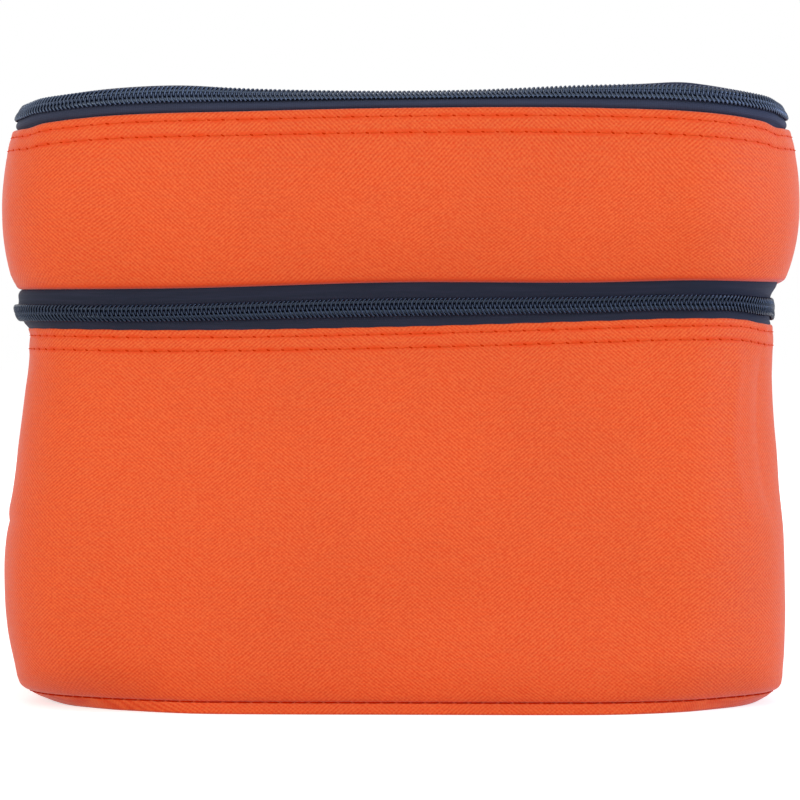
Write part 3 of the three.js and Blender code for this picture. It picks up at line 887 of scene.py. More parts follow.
def stitches(name, surface, middles, body, material, length=THREAD_SHOWN, radius=THREAD, lift=0.75,
             slant=0.0):
    """Short lengths of thread along a seam. surface gives points and outward directions for
    distances along it; each thread dives in at both ends. lift is in radii, slant across the seam."""
    rings, sides = 7, 6
    t = np.linspace(-1, 1, rings)
    at = np.asarray(middles)[:, None] + t * length / 2
    points, out = surface(at)
    side = unit(np.cross(unit(np.gradient(points, axis=1)), out))
    slack = random.uniform(-0.06, 0.06, (len(at), 1))
    height = radius * (lift - 1.9 * t**4) + slack * (1 - t**2)
    middle = points + out * height[..., None] + side * ((slack * 1.5 + slant) * t)[..., None]
    angle, ring = rings_of(out, side, sides)
    girth = radius * np.sqrt(np.clip(1.02 - t**6, 0.02, 1))
    tube = middle[..., None, :] + girth[:, None, None] * ring
    starts_at = np.arange(len(at))[:, None, None] * rings * sides
    caps = [[0, 5, 4, 3], [0, 3, 2, 1]]
    last = (rings - 1) * sides
    caps += [[last, last + 1, last + 2, last + 3], [last, last + 3, last + 4, last + 5]]
    faces = [(np.array(one) + starts_at).reshape(-1, 4) for one in (tube_faces(rings, sides), caps)]
    faces = np.concatenate(faces)
    uv = paired((t * length / 2)[:, None], angle * radius)
    uv = np.broadcast_to(uv, (len(at), *uv.shape)).reshape(-1, 2)
    piece(name, made_mesh(name, tube, faces, {"weave": uv[faces]}, 70), material, body)


def stitch_places(course):
    """Middles of the stitches along a course; the needle holes are at whole stitches."""
    return STITCH * (np.arange(math.ceil(course[0] / STITCH), math.floor(course[1] / STITCH)) + 0.5)


def hem_row(name, k, surface, course, body):
    """A row of a hem: its stitches, and dark ends of thread at the needle holes, painted as shade where it
    dives in.
    """
    middles = stitch_places(course)
    stitches(f"{name}_hem_stitches_{k}", surface, middles, body, ORANGE_THREAD)
    stitches(f"{name}_needle_hole_shades_{k}", surface, middles - STITCH / 2, body, HOLE_SHADE_THREAD, *NEEDLE_SHADE_MARK)


# Fabric shell
def hem_relief(s, depth, rows):
    """How far a sewn hem stands out, by the depth below its edge: puffed, with a groove at each row."""
    puff = HEM_PUFF * (1 - smooth(depth, rows[-1] - 0.2, rows[-1] + 1.8))
    tug = 0.72 + 0.28 * np.cos(2 * math.pi * s / STITCH)
    groove = sum(np.exp(-(((depth - row) / GROOVE_WIDTH) ** 2)) for row in rows)
    wander = 1.7 * np.sin(s / 31.0)
    pucker = PUCKER * np.sin(2 * math.pi * s / PUCKER_LENGTH + wander) * np.exp(-depth / PUCKER_FADE)
    return puff - STITCH_GROOVE * groove * tug + pucker


def edge_round(depth, radius):
    """How far a turned edge falls away within its radius."""
    inside = np.clip(radius - depth, 0, radius)
    return radius - np.sqrt(np.maximum(radius**2 - inside**2, 0))


def band_face(band, s, z, top_rows=(), bottom_rows=(), inset=0.0, relief=True, rim=1.0):
    """Points of a compartment's outer face, or of a layer set in from it."""
    x, y, _, _ = plan_at(s)
    out = swell(band, z, share_at(y)) - inset - band.tucked * tuck_at(s, z)
    out = out - band.drawn_in * at_front(x, y) * smooth(z, band.top - 14, band.top)
    if relief:
        if top_rows:
            out = out + hem_relief(s, band.top - z, top_rows)
        if bottom_rows:
            out = out + hem_relief(s, z - band.bottom, bottom_rows)
        out = out - edge_round(band.top - z, 0.6) - edge_round(z - band.bottom, band.turn)
    points = place(s, out, z)
    return settle(pushed(points, s, soft_dents(points, s, band)), rim)


def band_heights(band, fine_bottom):
    """Heights of a band's rows, close together at its turned edges and hems."""
    bottom, top = band.bottom, band.top
    depths = [np.arange(1.2, fine, ROW_STEP) for fine in (fine_bottom, HEM_FINE)]
    foot, head = (np.concatenate([EDGE_ROWS, depth]) for depth in depths)
    low, high = bottom + foot[-1], top - head[-1]
    middle = np.linspace(low, high, int((high - low) / 2.0) + 1)[1:-1]
    return np.concatenate([bottom + foot, middle, (top - head)[::-1]])


def band_sheet(name, node, band, course, body, top_rows, bottom_rows=(), fine=1.0, trim=0.0):
    """One cut of shell fabric round part of a compartment."""
    heights = band_heights(band, HEM_FINE if bottom_rows else 2.2)
    grid_s, grid_z = np.meshgrid(spaced(course, fine, trim), heights, indexing="ij")
    outer = band_face(band, grid_s, grid_z, top_rows, bottom_rows)
    inner = band_face(band, grid_s, grid_z, inset=FABRIC, relief=False)
    above_foot = grid_z - band.bottom + NO_SEAM * band.tucked
    maps = {"weave": paired(grid_s, grid_z), "edges": paired(band.top - grid_z, above_foot)}
    made = piece(name, sheet_mesh(name, outer, inner, maps), CLOTH, body, [node])


def band_seam(band, z, top_rows=(), bottom_rows=()):
    """A surface for stitches along a band at height z."""

    def surface(s):
        heights = np.full_like(s, z)
        points = band_face(band, s, heights, top_rows, bottom_rows)
        above = band_face(band, s, heights + 0.5, top_rows, bottom_rows)
        return points, unit(np.cross(np.gradient(points, axis=1), above - points))

    return surface


def add_shell(body, band):
    band_sheet(f"{body}_band_cloth", f"{body}_band", band, SHELL, body, HEM_ROWS)
    back = f"{body}_back"
    band_sheet(f"{back}_cloth", f"{back}_panel", band, BACK, body, SEAM_ROW, SEAM_ROW, 1.25, FIT)
    for k, row in enumerate(HEM_ROWS):
        hem_row(body, k + 1, band_seam(band, band.top - row, HEM_ROWS), SHELL, body)
    for end, z in (("top", band.top - SEAM_ROW[0]), ("foot", band.bottom + SEAM_ROW[0])):
        seam = band_seam(band, z, SEAM_ROW, SEAM_ROW)
        stitches(f"{back}_{end}_stitches", seam, stitch_places(BACK), body, ORANGE_THREAD)


for body, band in BANDS.items():
    add_shell(body, band)


# Discs: slabs and panels inside the plan, from the middle of the underside round the edge to that of the top
def disc_mesh(name, rows, shape, step):
    """rows are (out, share, height): the distance out from the zip line, then the share of the way to
    the middle, and the height. shape moves the points."""
    s = around_plan(step)[:, None]
    out, share, z = np.array(rows, float).T
    points = place(s, out, z)
    points[..., :2] += (plan_middle - points[..., :2]) * share[:, None]
    points = shape(points, s, out, share)
    faces = quads_between(np.arange(points[..., 0].size).reshape(points.shape[:2]), True)
    upright = np.abs(outward(s))[..., :2] * (points[..., 2:] - points[..., 2:].min())
    weave = (points[..., :2] + upright).reshape(-1, 2)[faces]
    maps = {"weave": weave, "edges": np.full_like(weave, NO_SEAM)}
    return made_mesh(name, points, faces, maps, jobs=(weld, clear_slivers))


def slab_rows(out, bottom, top, round_off):
    """Rows of a slab with rounded edges."""
    inner, between = out - SLAB_INNER, out - SLAB_INNER / 2
    under = [(inner, share, bottom) for share in FILL_IN[::-1]]
    mid, half = (bottom + top) / 2, (top - bottom) / 2
    angles = np.linspace(-math.pi / 2, math.pi / 2, 9)
    edge = [(out - round_off * (1 - math.cos(a)), 0, mid + half * math.sin(a)) for a in angles]
    over = [(inner, share, top) for share in FILL_IN]
    under += [(inner, 0, bottom), (between, 0, bottom)]
    return [*under, *edge, (between, 0, top), (inner, 0, top), *over]


def settled(points, *_):
    return settle(points, INNER_RISE)


def lid_edge_move(s):
    """How far the lid's edge moves out and up, as the turned zip draws it in and down."""
    x, y, _, _ = plan_at(s)
    _, drawn_in, height = turned(LID_AT + 1.6 * bulge_at(x, y), x, y)
    at = s % plan_length
    zipped = smooth(at, ZIP[0] - 15, ZIP[0] + 3) * (1 - smooth(at, ZIP[1] - 3, ZIP[1] + 15))
    shift = -1.0 + zipped * (rim_foot(x, y) - drawn_in - lid_rim + 1.0)
    lift = zipped * (UPPER.top + height + rim_rise(x, y) - lid_bottom)
    return np.stack([shift, lift])


def edge_distance(x, y):
    """About how far points are inside the plan, with the corners between its sides rounded off."""
    sides = np.stack([half_width - x, half_width + x, y - front_y, back_y - y])
    return -EDGE_BLEND * np.log(np.sum(np.exp(-sides / EDGE_BLEND), axis=0))


def lid_shape(points, s, out, share):
    """Moves points of the lid with its edge: closely beside it, and further in as it moves on the whole."""
    fade = 1 - smooth(edge_distance(points[..., 0], points[..., 1]), -5, 50)
    near = 1 - smooth(lid_edge - out + share * MIDDLE_DEPTH, 1, 20)
    whole = np.mean([lid_edge_move(s + apart) for apart in np.arange(-35, 36, 10)], axis=0)
    shift, lift = lid_edge_move(s) * near + whole * fade * (1 - near)
    moved = pushed(points, s, shift)
    moved[..., 2] += lift + lid_crown(moved[..., 0], moved[..., 1])
    return moved


def turned(reach, x, y):
    """The turn of the lid's tape, how far it is drawn in and its height, by the reach along it."""
    step = 0.05
    along = np.arange(-3.0, TAPE_END + 3, step)
    tilt, bulge = tilt_at(x, y)[..., None], bulge_at(x, y)[..., None]
    below = np.clip((along - BEND_BELOW[0]) / (BEND_BELOW[1] - BEND_BELOW[0]), 0, 1)
    above = np.clip((along - BEND_ABOVE[0] - bulge) / (BEND_ABOVE[1] - BEND_ABOVE[0]), 0, 1)
    angle = tilt * below + (LID_FALL - tilt) * above
    zero = np.argmin(np.abs(along))
    reach = np.broadcast_to(reach, tilt.shape[:-1])
    at = np.clip((reach - along[0]) / step, 0, len(along) - 2)
    k = at.astype(int)[..., None]
    t = at - k[..., 0]
    found = [np.take_along_axis(angle, k, -1)[..., 0]]
    for rate in (np.sin(angle), np.cos(angle)):
        total = np.cumsum(rate, -1) * step
        total = total - total[..., zero : zero + 1]
        first, last = (np.take_along_axis(total, k + j, -1)[..., 0] for j in (0, 1))
        found.append(first + (last - first) * t)
    return found


def lid_crown(x, y):
    across = np.clip(1 - (x / (half_width + 2)) ** 2, 0, 1)
    deep = np.clip(1 - ((y - centre_y) / ((back_y - front_y) / 2 + 2)) ** 2, 0, 1)
    return LID_CROWN * across * deep


def add_disc(name, node, rows, shape, body, material, slot, step=2.0):
    return piece(name, disc_mesh(name, rows, shape, step), material, body, [node])


def cad_rows(node, shy, round_off):
    """Rows of a slab in the place of its CAD solid, a little short of its edge."""
    low, high = cad(node)
    return slab_rows(high[0] - half_width - shy, low[2], high[2], round_off)


def add_pad(name, node, shape, body, shy, round_off):
    made = add_disc(name, node, cad_rows(node, shy, round_off), shape, body, FOAM_CELLS, "foam")


def add_cut(*disc):
    """A sheet cut to the plan."""
    add_disc(*disc)


def add_film(name, node, shape, body, shy):
    add_cut(name, node, cad_rows(node, shy, FILM_ROUND), shape, body, FILM, "liner")


add_pad("divider_pad", "divider_foam", settled, "upper", DIVIDER_SHY, 1.2)
add_film("divider_film", "divider_underside", settled, "upper", DIVIDER_SHY)
add_pad("lid_pad", "lid_foam", lid_shape, "lid", 0.4, 1.6)
add_film("lid_film", "lid_liner", lid_shape, "lid", 0.0)


def base_rows():
    """Base panel: up to its seam with the band, round under and flat across, then back over the top."""
    round_off, seam_in, face, level = 0.7, 0.4, 0.1, -20.0
    under = [(level, share, 0.0) for share in FILL_IN[::-1]] + [(out, 0, 0.0) for out in (level, -10.0, -5.0)]
    angles = np.linspace(0, math.pi / 2, 9)
    outer = [(face - round_off * (1 - math.sin(a)), 0, round_off * (1 - math.cos(a))) for a in angles]
    outer += [(face, 0, 0.6 * base_rise), (face, 0, 0.85 * base_rise), (face - 0.1, 0, 0.95 * base_rise)]
    outer += [(-seam_in, 0, base_rise)]
    lip = [(-0.4, 0, base_rise + 0.25), (-0.9, 0, base_rise + 0.4), (-1.3, 0, base_rise)]
    inner = [(out - 0.9, 0, max(FABRIC, z)) for out, _, z in outer[-2:0:-2]]
    over = [(level, 0, FABRIC)] + [(level, share, FABRIC) for share in FILL_IN]
    return [*under, *outer, *lip, *inner, *over]


def base_shape(points, s, out, share):
    """Draws the base under at its corners and sides, and leaves it full along the front."""
    tuck = tuck_at(s, points[..., 2]) * smooth(out, -20.0, -1.0) * (share == 0)
    return settle(pushed(points, s, -tuck))


add_pad("base_pad", "base_foam", base_shape, "lower", 0.0, 1.6)
add_cut("base_cloth", "base_panel", base_rows(), base_shape, "lower", CLOTH, "shell_fabric")


def base_seam(s):
    z = (LOWER.bottom + base_rise) / 2
    return settle(place(s, -0.2 - tuck_at(s, z), z)), outward(s)


# The base seam's thread is darkened as painted shade of its groove
stitches("base_seam_stitches", base_seam, stitch_places(ALL_ROUND), "lower", SEAM_SHADE_THREAD, *BASE_THREAD)


# Lid panel, with a double-stitched edge
def lid_rows():
    depth = np.concatenate([[0.0, 0.1, 0.3, 0.6], np.arange(1.0, HEM_FINE, ROW_STEP)])
    top = [(lid_rim - d, 0, lid_top - edge_round(d, 0.7)) for d in depth]
    inner = lid_edge - 7.5
    under = [(inner, share, lid_bottom) for share in FILL_IN[::-1]]
    under += [(inner, 0, lid_bottom), (lid_edge + 0.4, 0, lid_bottom)]
    over = [(top[-1][0], share, top[-1][2]) for share in FILL_IN]
    return [*under, *top, *over]


def lid_panel_shape(points, s, out, share):
    relief = hem_relief(s, lid_rim - out + share * MIDDLE_DEPTH, HEM_ROWS) * (share == 0)
    points = points.copy()
    points[..., 2] += np.where(points[..., 2] > lid_bottom + 0.1, relief, 0)
    return lid_shape(points, s, out, share)


def flat_seam(shape, out, z, up):
    """A surface for stitches on a flat piece, at a distance out from the plan and facing up or down."""
    out = np.array([out])

    def surface(s):
        flat = s.reshape(-1, 1)
        points = shape(place(flat, out, z), flat, out, 0 * out).reshape(*s.shape, 3)
        return points, np.broadcast_to((0.0, 0.0, up), points.shape)

    return surface


add_cut("lid_cloth", "lid_panel", lid_rows(), lid_panel_shape, "lid", CLOTH, "shell_fabric", 1.25)
for k, row in enumerate(HEM_ROWS):
    hem_row("lid", k + 1, flat_seam(lid_panel_shape, lid_rim - row, lid_top, 1.0), ALL_ROUND, "lid")


# Foam walls and tubs
def add_wall(body, band):
    """Foam round the walls of a compartment, with rounded edges."""
    name, node = f"{body}_wall_pad", f"{body}_wall_foam"
    low, high = cad(node)
    edge = np.array([0, 0.6])
    z = np.concatenate([low[2] + edge, np.linspace(low[2] + 2, high[2] - 2, 24), high[2] - edge[::-1]])
    grid_s, grid_z = np.meshgrid(around_plan(3.0), z, indexing="ij")
    shy = 0.8 * (edge_round(grid_z - low[2], 1.5) + edge_round(high[2] - grid_z, 1.5))
    insets = (FABRIC + FIT + 0.25 + shy, FABRIC + FIT + FOAM - 0.2 - shy)
    faces = [band_face(band, grid_s, grid_z, inset=k, relief=False, rim=INNER_RISE) for k in insets]
    mesh = sheet_mesh(name, *faces, {"weave": paired(grid_s, grid_z)}, around=True)
    piece(name, mesh, FOAM_CELLS, body, [node])


def add_tub(body, band):
    """Film tub: walls, a rounded foot and a floor, with soft creases that stand in from the foam."""
    name, node = f"{body}_tub", f"{body}_liner"
    low, high = cad(node)
    foot_z = low[2] + TUB_FOOT
    fill = np.array(FILL_IN)
    turn = np.linspace(0, math.pi / 2, 8)[1:]
    wall = np.linspace(high[2], foot_z, 34)
    heights = np.concatenate([wall, low[2] + TUB_FOOT * (1 - np.sin(turn)), low[2] + 0 * fill])
    tucks = np.concatenate([0 * wall, TUB_FOOT * (1 - np.cos(turn)), TUB_FOOT + 0 * fill])
    shares = np.concatenate([0 * wall, 0 * turn, fill])
    grid_s, grid_z = np.meshgrid(around_plan(2.5), heights, indexing="ij")
    _, y, _, _ = plan_at(grid_s)
    swell_z = np.where(tucks > 0, np.maximum(grid_z, foot_z), grid_z)
    stand = swell(band, swell_z, share_at(y)) - LINER_INSET - np.minimum(tucks, TUB_ROUND)

    def face(offset, rise):
        points = place(grid_s, stand - offset, grid_z + rise)
        points[..., :2] += (plan_middle - points[..., :2]) * shares[:, None]
        crease = sum(deep * np.abs(ripples(points, wide, seed)) for wide, seed, deep in TUB_CREASES)
        points = pushed(points, grid_s, -crease * (shares == 0) * smooth(high[2] - grid_z, 0, 8))
        points[..., 2] += np.where(shares > 0, crease * smooth(1 - shares, 0, 0.2), 0)
        return settle(points, INNER_RISE)[:, ::-1]

    faces = (face(LINER, LINER * (tucks > 0)), face(0.0, 0.0))
    mesh = sheet_mesh(name, *faces, {"weave": paired(grid_s, grid_z)[:, ::-1]}, around=True)
    reworked(mesh, weld, face_out)
    made = piece(name, mesh, FILM, body, [node])


for add_layer in (add_wall, add_tub):
    for body, band in BANDS.items():
        add_layer(body, band)


# Bindings
def ring_sheet(name, node, rows, thickness, shape, body):
    """A ribbon round the whole plan. rows are (out, height, tilt): tilt turns its face from out to up."""
    s = around_plan(2.0)[:, None]
    out, z, tilt = np.array(rows, float).T
    inside = place(s, out - thickness * np.cos(tilt), z - thickness * np.sin(tilt))
    faces = [shape(points, s, out, 0 * out) for points in (place(s, out, z), inside)]
    run = run_along(out, z)
    mesh = sheet_mesh(name, *faces, {"weave": paired(s, run)}, around=True)
    made = piece(name, mesh, RIBBON, body, [node])


def rim_binding(body, band):
    """A ribbon folded over the rim of the foam and film, its inner leg sewn down."""
    name, node = f"{body}_rim_ribbon", f"{body}_rim_binding"
    low, high = cad(node)
    outside, inside = high[0] - half_width, band.brow - LINER_INSET - LINER - 0.5
    middle, half = (outside + inside) / 2, (outside - inside) / 2
    foot = low[2] - 0.9
    angles = np.linspace(0, math.pi, 13)
    bend = [(middle + half * math.cos(a), foot + (high[2] - foot) * math.sin(a) ** 0.7, a) for a in angles]
    leg = [(inside - 0.05 * drop, foot - drop, math.pi) for drop in (1.0, 2.0, 3.5, 5.0, 6.5)]
    ring_sheet(name, node, [*bend, *leg], 0.45, settled, body)

    def surface(s):
        return settle(place(s, inside - 0.2, foot - 5.2), INNER_RISE), -outward(s)

    stitches(f"{name}_stitches", surface, stitch_places(ALL_ROUND), body, NAVY_THREAD)


def flat_binding(name, node, shape, body, outer, leg):
    """A ribbon sewn under the edge of a panel and turned up round it."""
    low, high = cad(node)
    turn = 0.8
    across = np.linspace(RIBBON_WIDTH, turn, 9)
    sag = 0.25 * np.sin(math.pi * across / RIBBON_WIDTH)
    flat = [(outer - d, low[2] - dip, -math.pi / 2) for d, dip in zip(across, sag)]
    angles = np.linspace(-math.pi / 2, 0, 6)[1:]
    bend = [(outer - turn * (1 - math.cos(a)), low[2] + turn * (1 + math.sin(a)), a) for a in angles]
    upright = [(outer, low[2] + rise, 0.0) for rise in np.linspace(turn, leg, 4)[1:]]
    ring_sheet(name, node, [*flat, *bend, *upright], high[2] - low[2], shape, body)
    for k, inset in enumerate((RIBBON_SEAM, RIBBON_WIDTH - RIBBON_SEAM)):
        seam = flat_seam(shape, outer - inset, low[2] - 0.1, -1.0)
        stitches(f"{name}_stitches_{k + 1}", seam, stitch_places(ALL_ROUND), body, NAVY_THREAD)


for body, band in BANDS.items():
    rim_binding(body, band)
flat_binding("divider_ribbon", "divider_binding", settled, "upper", outer=-0.5, leg=3.9)
flat_binding("lid_ribbon", "lid_binding", lid_shape, "lid", outer=lid_edge + 0.5, leg=5.6)


# Zips
def mid_chain(s, out, along):
    """Points beside the middle zip, by the distance out of the tape's face and up from the chain's middle."""
    return settle(place(s, mid_face + out, mid_z + along))


def top_chain(s, out, along):
    """Points beside the lid's zip, whose tape turns over from upright to flat."""
    s, out, along = np.broadcast_arrays(s, out, along)
    x, y, out_x, out_y = plan_at(s)
    angle, drawn_in, height = turned(along + TOP_CHAIN, x, y)
    stand = rim_foot(x, y) - drawn_in + out * np.cos(angle)
    z = UPPER.top + height + out * np.sin(angle)
    lean = lean_at(x, y, UPPER.top)
    return np.stack([x + out_x * stand + lean, y + out_y * stand, z + rim_rise(x, y)], -1)


def add_tape(zip_name, half, body, chain, knots):
    """One half of a zip's tape, by a few points of its section from its sewn edge to the chain."""
    s = spaced(ZIP, 1.5)
    out, along = np.array(knots, float).T
    run = run_along(out, along)
    fine = np.linspace(0, run[-1], int(run[-1] / ROW_STEP) + 2)
    out, along = np.interp(fine, run, out), np.interp(fine, run, along)
    for _ in range(3):
        out[1:-1] = (out[:-2] + 2 * out[1:-1] + out[2:]) / 4
    grids = [chain(s[:, None], out, along), chain(s[:, None], out - TAPE, along), paired(s[:, None], fine)]
    if along[0] > along[-1]:
        grids = [grid[:, ::-1] for grid in grids]
    outer, inner, weave = grids
    name, node = f"{zip_name}_{half}_tape", f"{zip_name}_zip_{half}_tape"
    mesh = sheet_mesh(name, outer, inner, {"weave": weave})
    piece(name, mesh, TAPE_CLOTH[zip_name], body, [node])


def add_coil(zip_name, half, body, chain):
    """Half of a coil as one wound wire, straight near the middle of the chain and leaning further out.
    The halves are half a turn apart, so that their heads mesh."""
    side = 1 if half == "upper" else -1
    steps, sides = 14, 6
    turns = int((ZIP[1] - ZIP[0] - 3) / COIL_PITCH)
    turn = np.linspace(0, turns, turns * steps + 1)
    phase = turn % 1
    angle = 2 * math.pi * turn - math.pi / 2
    lean = COIL_LEAN * smooth(phase, 0.20, 0.5) + (1 - COIL_LEAN) * np.clip(2 * phase - 1, 0, 1)
    offset = COIL_PITCH / 2 if side > 0 else 0
    s = ZIP[0] + 1.2 + offset + COIL_PITCH * (np.floor(turn) + lean)
    high = (COIL_REACH + COIL_OVERLAP) / 2 - COIL_WIRE
    deep = COIL_THICKNESS / 2 - COIL_WIRE
    middle = side * ((COIL_REACH - COIL_OVERLAP) / 2)
    flat = np.sign(np.cos(angle)) * np.abs(np.cos(angle)) ** 0.75
    out = COIL_THICKNESS / 2 + deep * flat
    along = middle + side * high * np.sin(angle)
    path = chain(s, out, along)
    tangent = unit(np.gradient(path, axis=0))
    away = path - chain(s, COIL_THICKNESS / 2, middle)
    away = unit(away - tangent * (away * tangent).sum(1, keepdims=True))
    around, ring = rings_of(away, np.cross(tangent, away), sides)
    tube = path[:, None] + COIL_WIRE * ring
    cord_s = spaced(ZIP, 1.0, 1.2)
    cord = chain(cord_s[:, None], COIL_THICKNESS / 2 + CORE[1] * np.cos(around),
                 side * (COIL_OVERLAP / 2 + CORE[0] + 0.25) + CORE[0] * np.sin(around))
    faces = np.concatenate([tube_faces(len(path), sides), tube_faces(len(cord), sides) + len(path) * sides])
    points = np.concatenate([tube, cord])
    all_s = np.repeat(np.concatenate([s, cord_s]), sides)
    girth = np.concatenate([np.tile(around * COIL_WIRE, len(path)), np.full(cord.size // 3, CORD_MARK)])
    name, node = f"{zip_name}_{half}_turns", f"{zip_name}_zip_{half}_coil"
    mesh = made_mesh(name, points, faces, {"weave": paired(all_s, girth)[faces]}, 80)
    reworked(mesh, lambda work: bmesh.ops.holes_fill(work, edges=work.edges, sides=sides), face_out)
    piece(name, mesh, COIL_NYLON[zip_name], body, [node])


hem_drop = LOWER.top - mid_z
foot_rise = UPPER.bottom - mid_z
foot_out = UPPER.foot - mid_face
rim_drop = -TOP_CHAIN
lower_tape = (
    (-0.75, hem_drop - 1.6), (-0.45, hem_drop), (-0.1, hem_drop + 1.0), (0, hem_drop + 1.8), (0, -0.25)
)
upper_tape = (
    (foot_out - 0.9, foot_rise + 1.6), (foot_out - 0.75, foot_rise), (0.35, foot_rise - 2.0),
    (0, foot_rise - 3.6), (0, 0.25)
)
rim_tape = (
    (-1.4, rim_drop - 2.4), (-1.0, rim_drop - 0.1), (-0.2, rim_drop + 0.6), (0, rim_drop + 1.2), (0, -0.25)
)
lid_tape = ((0, TAPE_END - TOP_CHAIN + 1.5), (0, 0.25))
zip_halves = (
    ("mid", "lower", "lower", mid_chain, lower_tape),
    ("mid", "upper", "upper", mid_chain, upper_tape),
    ("top", "lower", "upper", top_chain, rim_tape),
    ("top", "upper", "lid", top_chain, lid_tape),
)
for zip_half in zip_halves:
    add_tape(*zip_half)
for zip_half in zip_halves:
    add_coil(*zip_half[:-1])


# Fabric hinges at the back
def hinge_sheet(prefix, section):
    """A strip of shell fabric at the back, between two bodies, by (out, height, tilt) points of its section.
    """
    name, node = f"{prefix}_hinge_cloth", f"{prefix}_hinge_strip"
    s = spaced(HINGE, 1.5, FIT)[:, None]
    out, z, tilt = np.array(section, float).T
    outer = place(s, out, z)
    wide, seed, deep = HINGE_WRINKLE
    outer[..., 1] += deep * ripples(outer, wide, seed)
    inner = place(s, out - FABRIC * np.cos(tilt), z - FABRIC * np.sin(tilt))
    run = run_along(out, z)
    weave = paired(s, run)
    mesh = sheet_mesh(name, outer, inner, {"weave": weave, "edges": np.full_like(weave, NO_SEAM)})
    made = piece(name, mesh, CLOTH, None, [node])
    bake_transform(made)


def mid_hinge():
    low, high = cad("mid_hinge_strip")
    t = np.linspace(0, 1, 15)
    bow = 0.7 * np.sin(math.pi * t) ** 2 * np.sign(np.sin(2 * math.pi * t) + 0.01)
    out = UPPER.foot * smooth(t, 0, 1) - 0.35 * np.exp(-((t - 0.5) / 0.12) ** 2) + 0.2 * bow
    z = low[2] + (high[2] - low[2]) * t
    section = [(o, h, 0.0) for o, h in zip(out, z)]
    hinge_sheet("mid", section)


def lid_hinge():
    low, high = cad("lid_hinge_strip")
    turn = 3.2
    rise = np.linspace(low[2], high[2] - turn, 7)
    angles = np.linspace(0, math.pi / 2, 8)[1:]
    brow = UPPER.brow
    upright = [(brow, z, 0.0) for z in rise]
    bend = [(brow - turn * (1 - math.cos(a)), high[2] - turn * (1 - math.sin(a)), a) for a in angles]
    reach = np.linspace(brow - turn, lid_edge + 0.5, 5)[1:]
    flat = [(out, high[2], math.pi / 2) for out in reach]
    under_lid = ((0.3, high[2] - 0.4), (1.2, lid_bottom), (6.0, lid_bottom))
    lap = [(lid_edge - d, z, math.pi / 2) for d, z in under_lid]
    hinge_sheet("lid", [*upright, *bend, *flat, *lap])


mid_hinge()
lid_hinge()


# Sliders and pull tabs
def rounded_outline(points, radius):
    """A polygon with its corners rounded."""
    points = np.array(points, float)
    made = []
    for k, here in enumerate(points):
        before, after = points[k - 1] - here, points[(k + 1) % len(points)] - here
        cut = min(radius, 0.45 * np.linalg.norm(before), 0.45 * np.linalg.norm(after))
        first = here + unit(before) * cut
        last = here + unit(after) * cut
        t = np.linspace(0, 1, CORNER_STEPS)[:, None]
        made.extend((1 - t) ** 2 * first + 2 * t * (1 - t) * here + t * t * last)
    return np.array(made)


def mirrored(half, flip=(1, -1)):
    """A closed outline from half of it."""
    return [*half, *[(a * flip[0], b * flip[1]) for a, b in reversed(half)]]


def plate(work, outline, corner, low, high, place_at, bevel, holes=()):
    """A plate over an outline, from low to high, with rounded corners, softened edges and any holes."""
    if corner:
        outline = rounded_outline(outline, corner)
    loops = []
    for ring in (outline, *holes):
        verts = [work.verts.new(place_at(a, b, low)) for a, b in ring]
        loops.append([work.edges.new((verts[k - 1], verts[k])) for k in range(len(verts))])
    edges = [e for loop in loops for e in loop]
    filled = bmesh.ops.triangle_fill(work, edges=edges, use_beauty=True)
    faces = [f for f in filled["geom"] if isinstance(f, bmesh.types.BMFace)]
    grown = bmesh.ops.extrude_face_region(work, geom=faces)["geom"]
    shift = np.array(place_at(0, 0, high)) - np.array(place_at(0, 0, low))
    far = [g for g in grown if isinstance(g, bmesh.types.BMVert)]
    bmesh.ops.translate(work, verts=far, vec=shift.tolist())
    work.normal_update()
    all_faces = set(faces) | {f for vert in far for f in vert.link_faces}
    sharp = {e for f in all_faces if f.is_valid for e in f.edges
             if len(e.link_faces) == 2 and e.calc_face_angle(0) > SHARP_EDGE}
    bmesh.ops.bevel(work, geom=list(sharp), offset=bevel * MM, segments=3, affect="EDGES", profile=0.6)


def split_faces(work):
    bmesh.ops.triangulate(work, faces=[f for f in work.faces if len(f.verts) > 4])


def metal_piece(name, node, build, body):
    mesh = bpy.data.meshes.new(name)
    reworked(mesh, build, face_out, split_faces)
    smoothed(mesh, 40)
    piece(name, mesh, ENAMEL, body, [node])


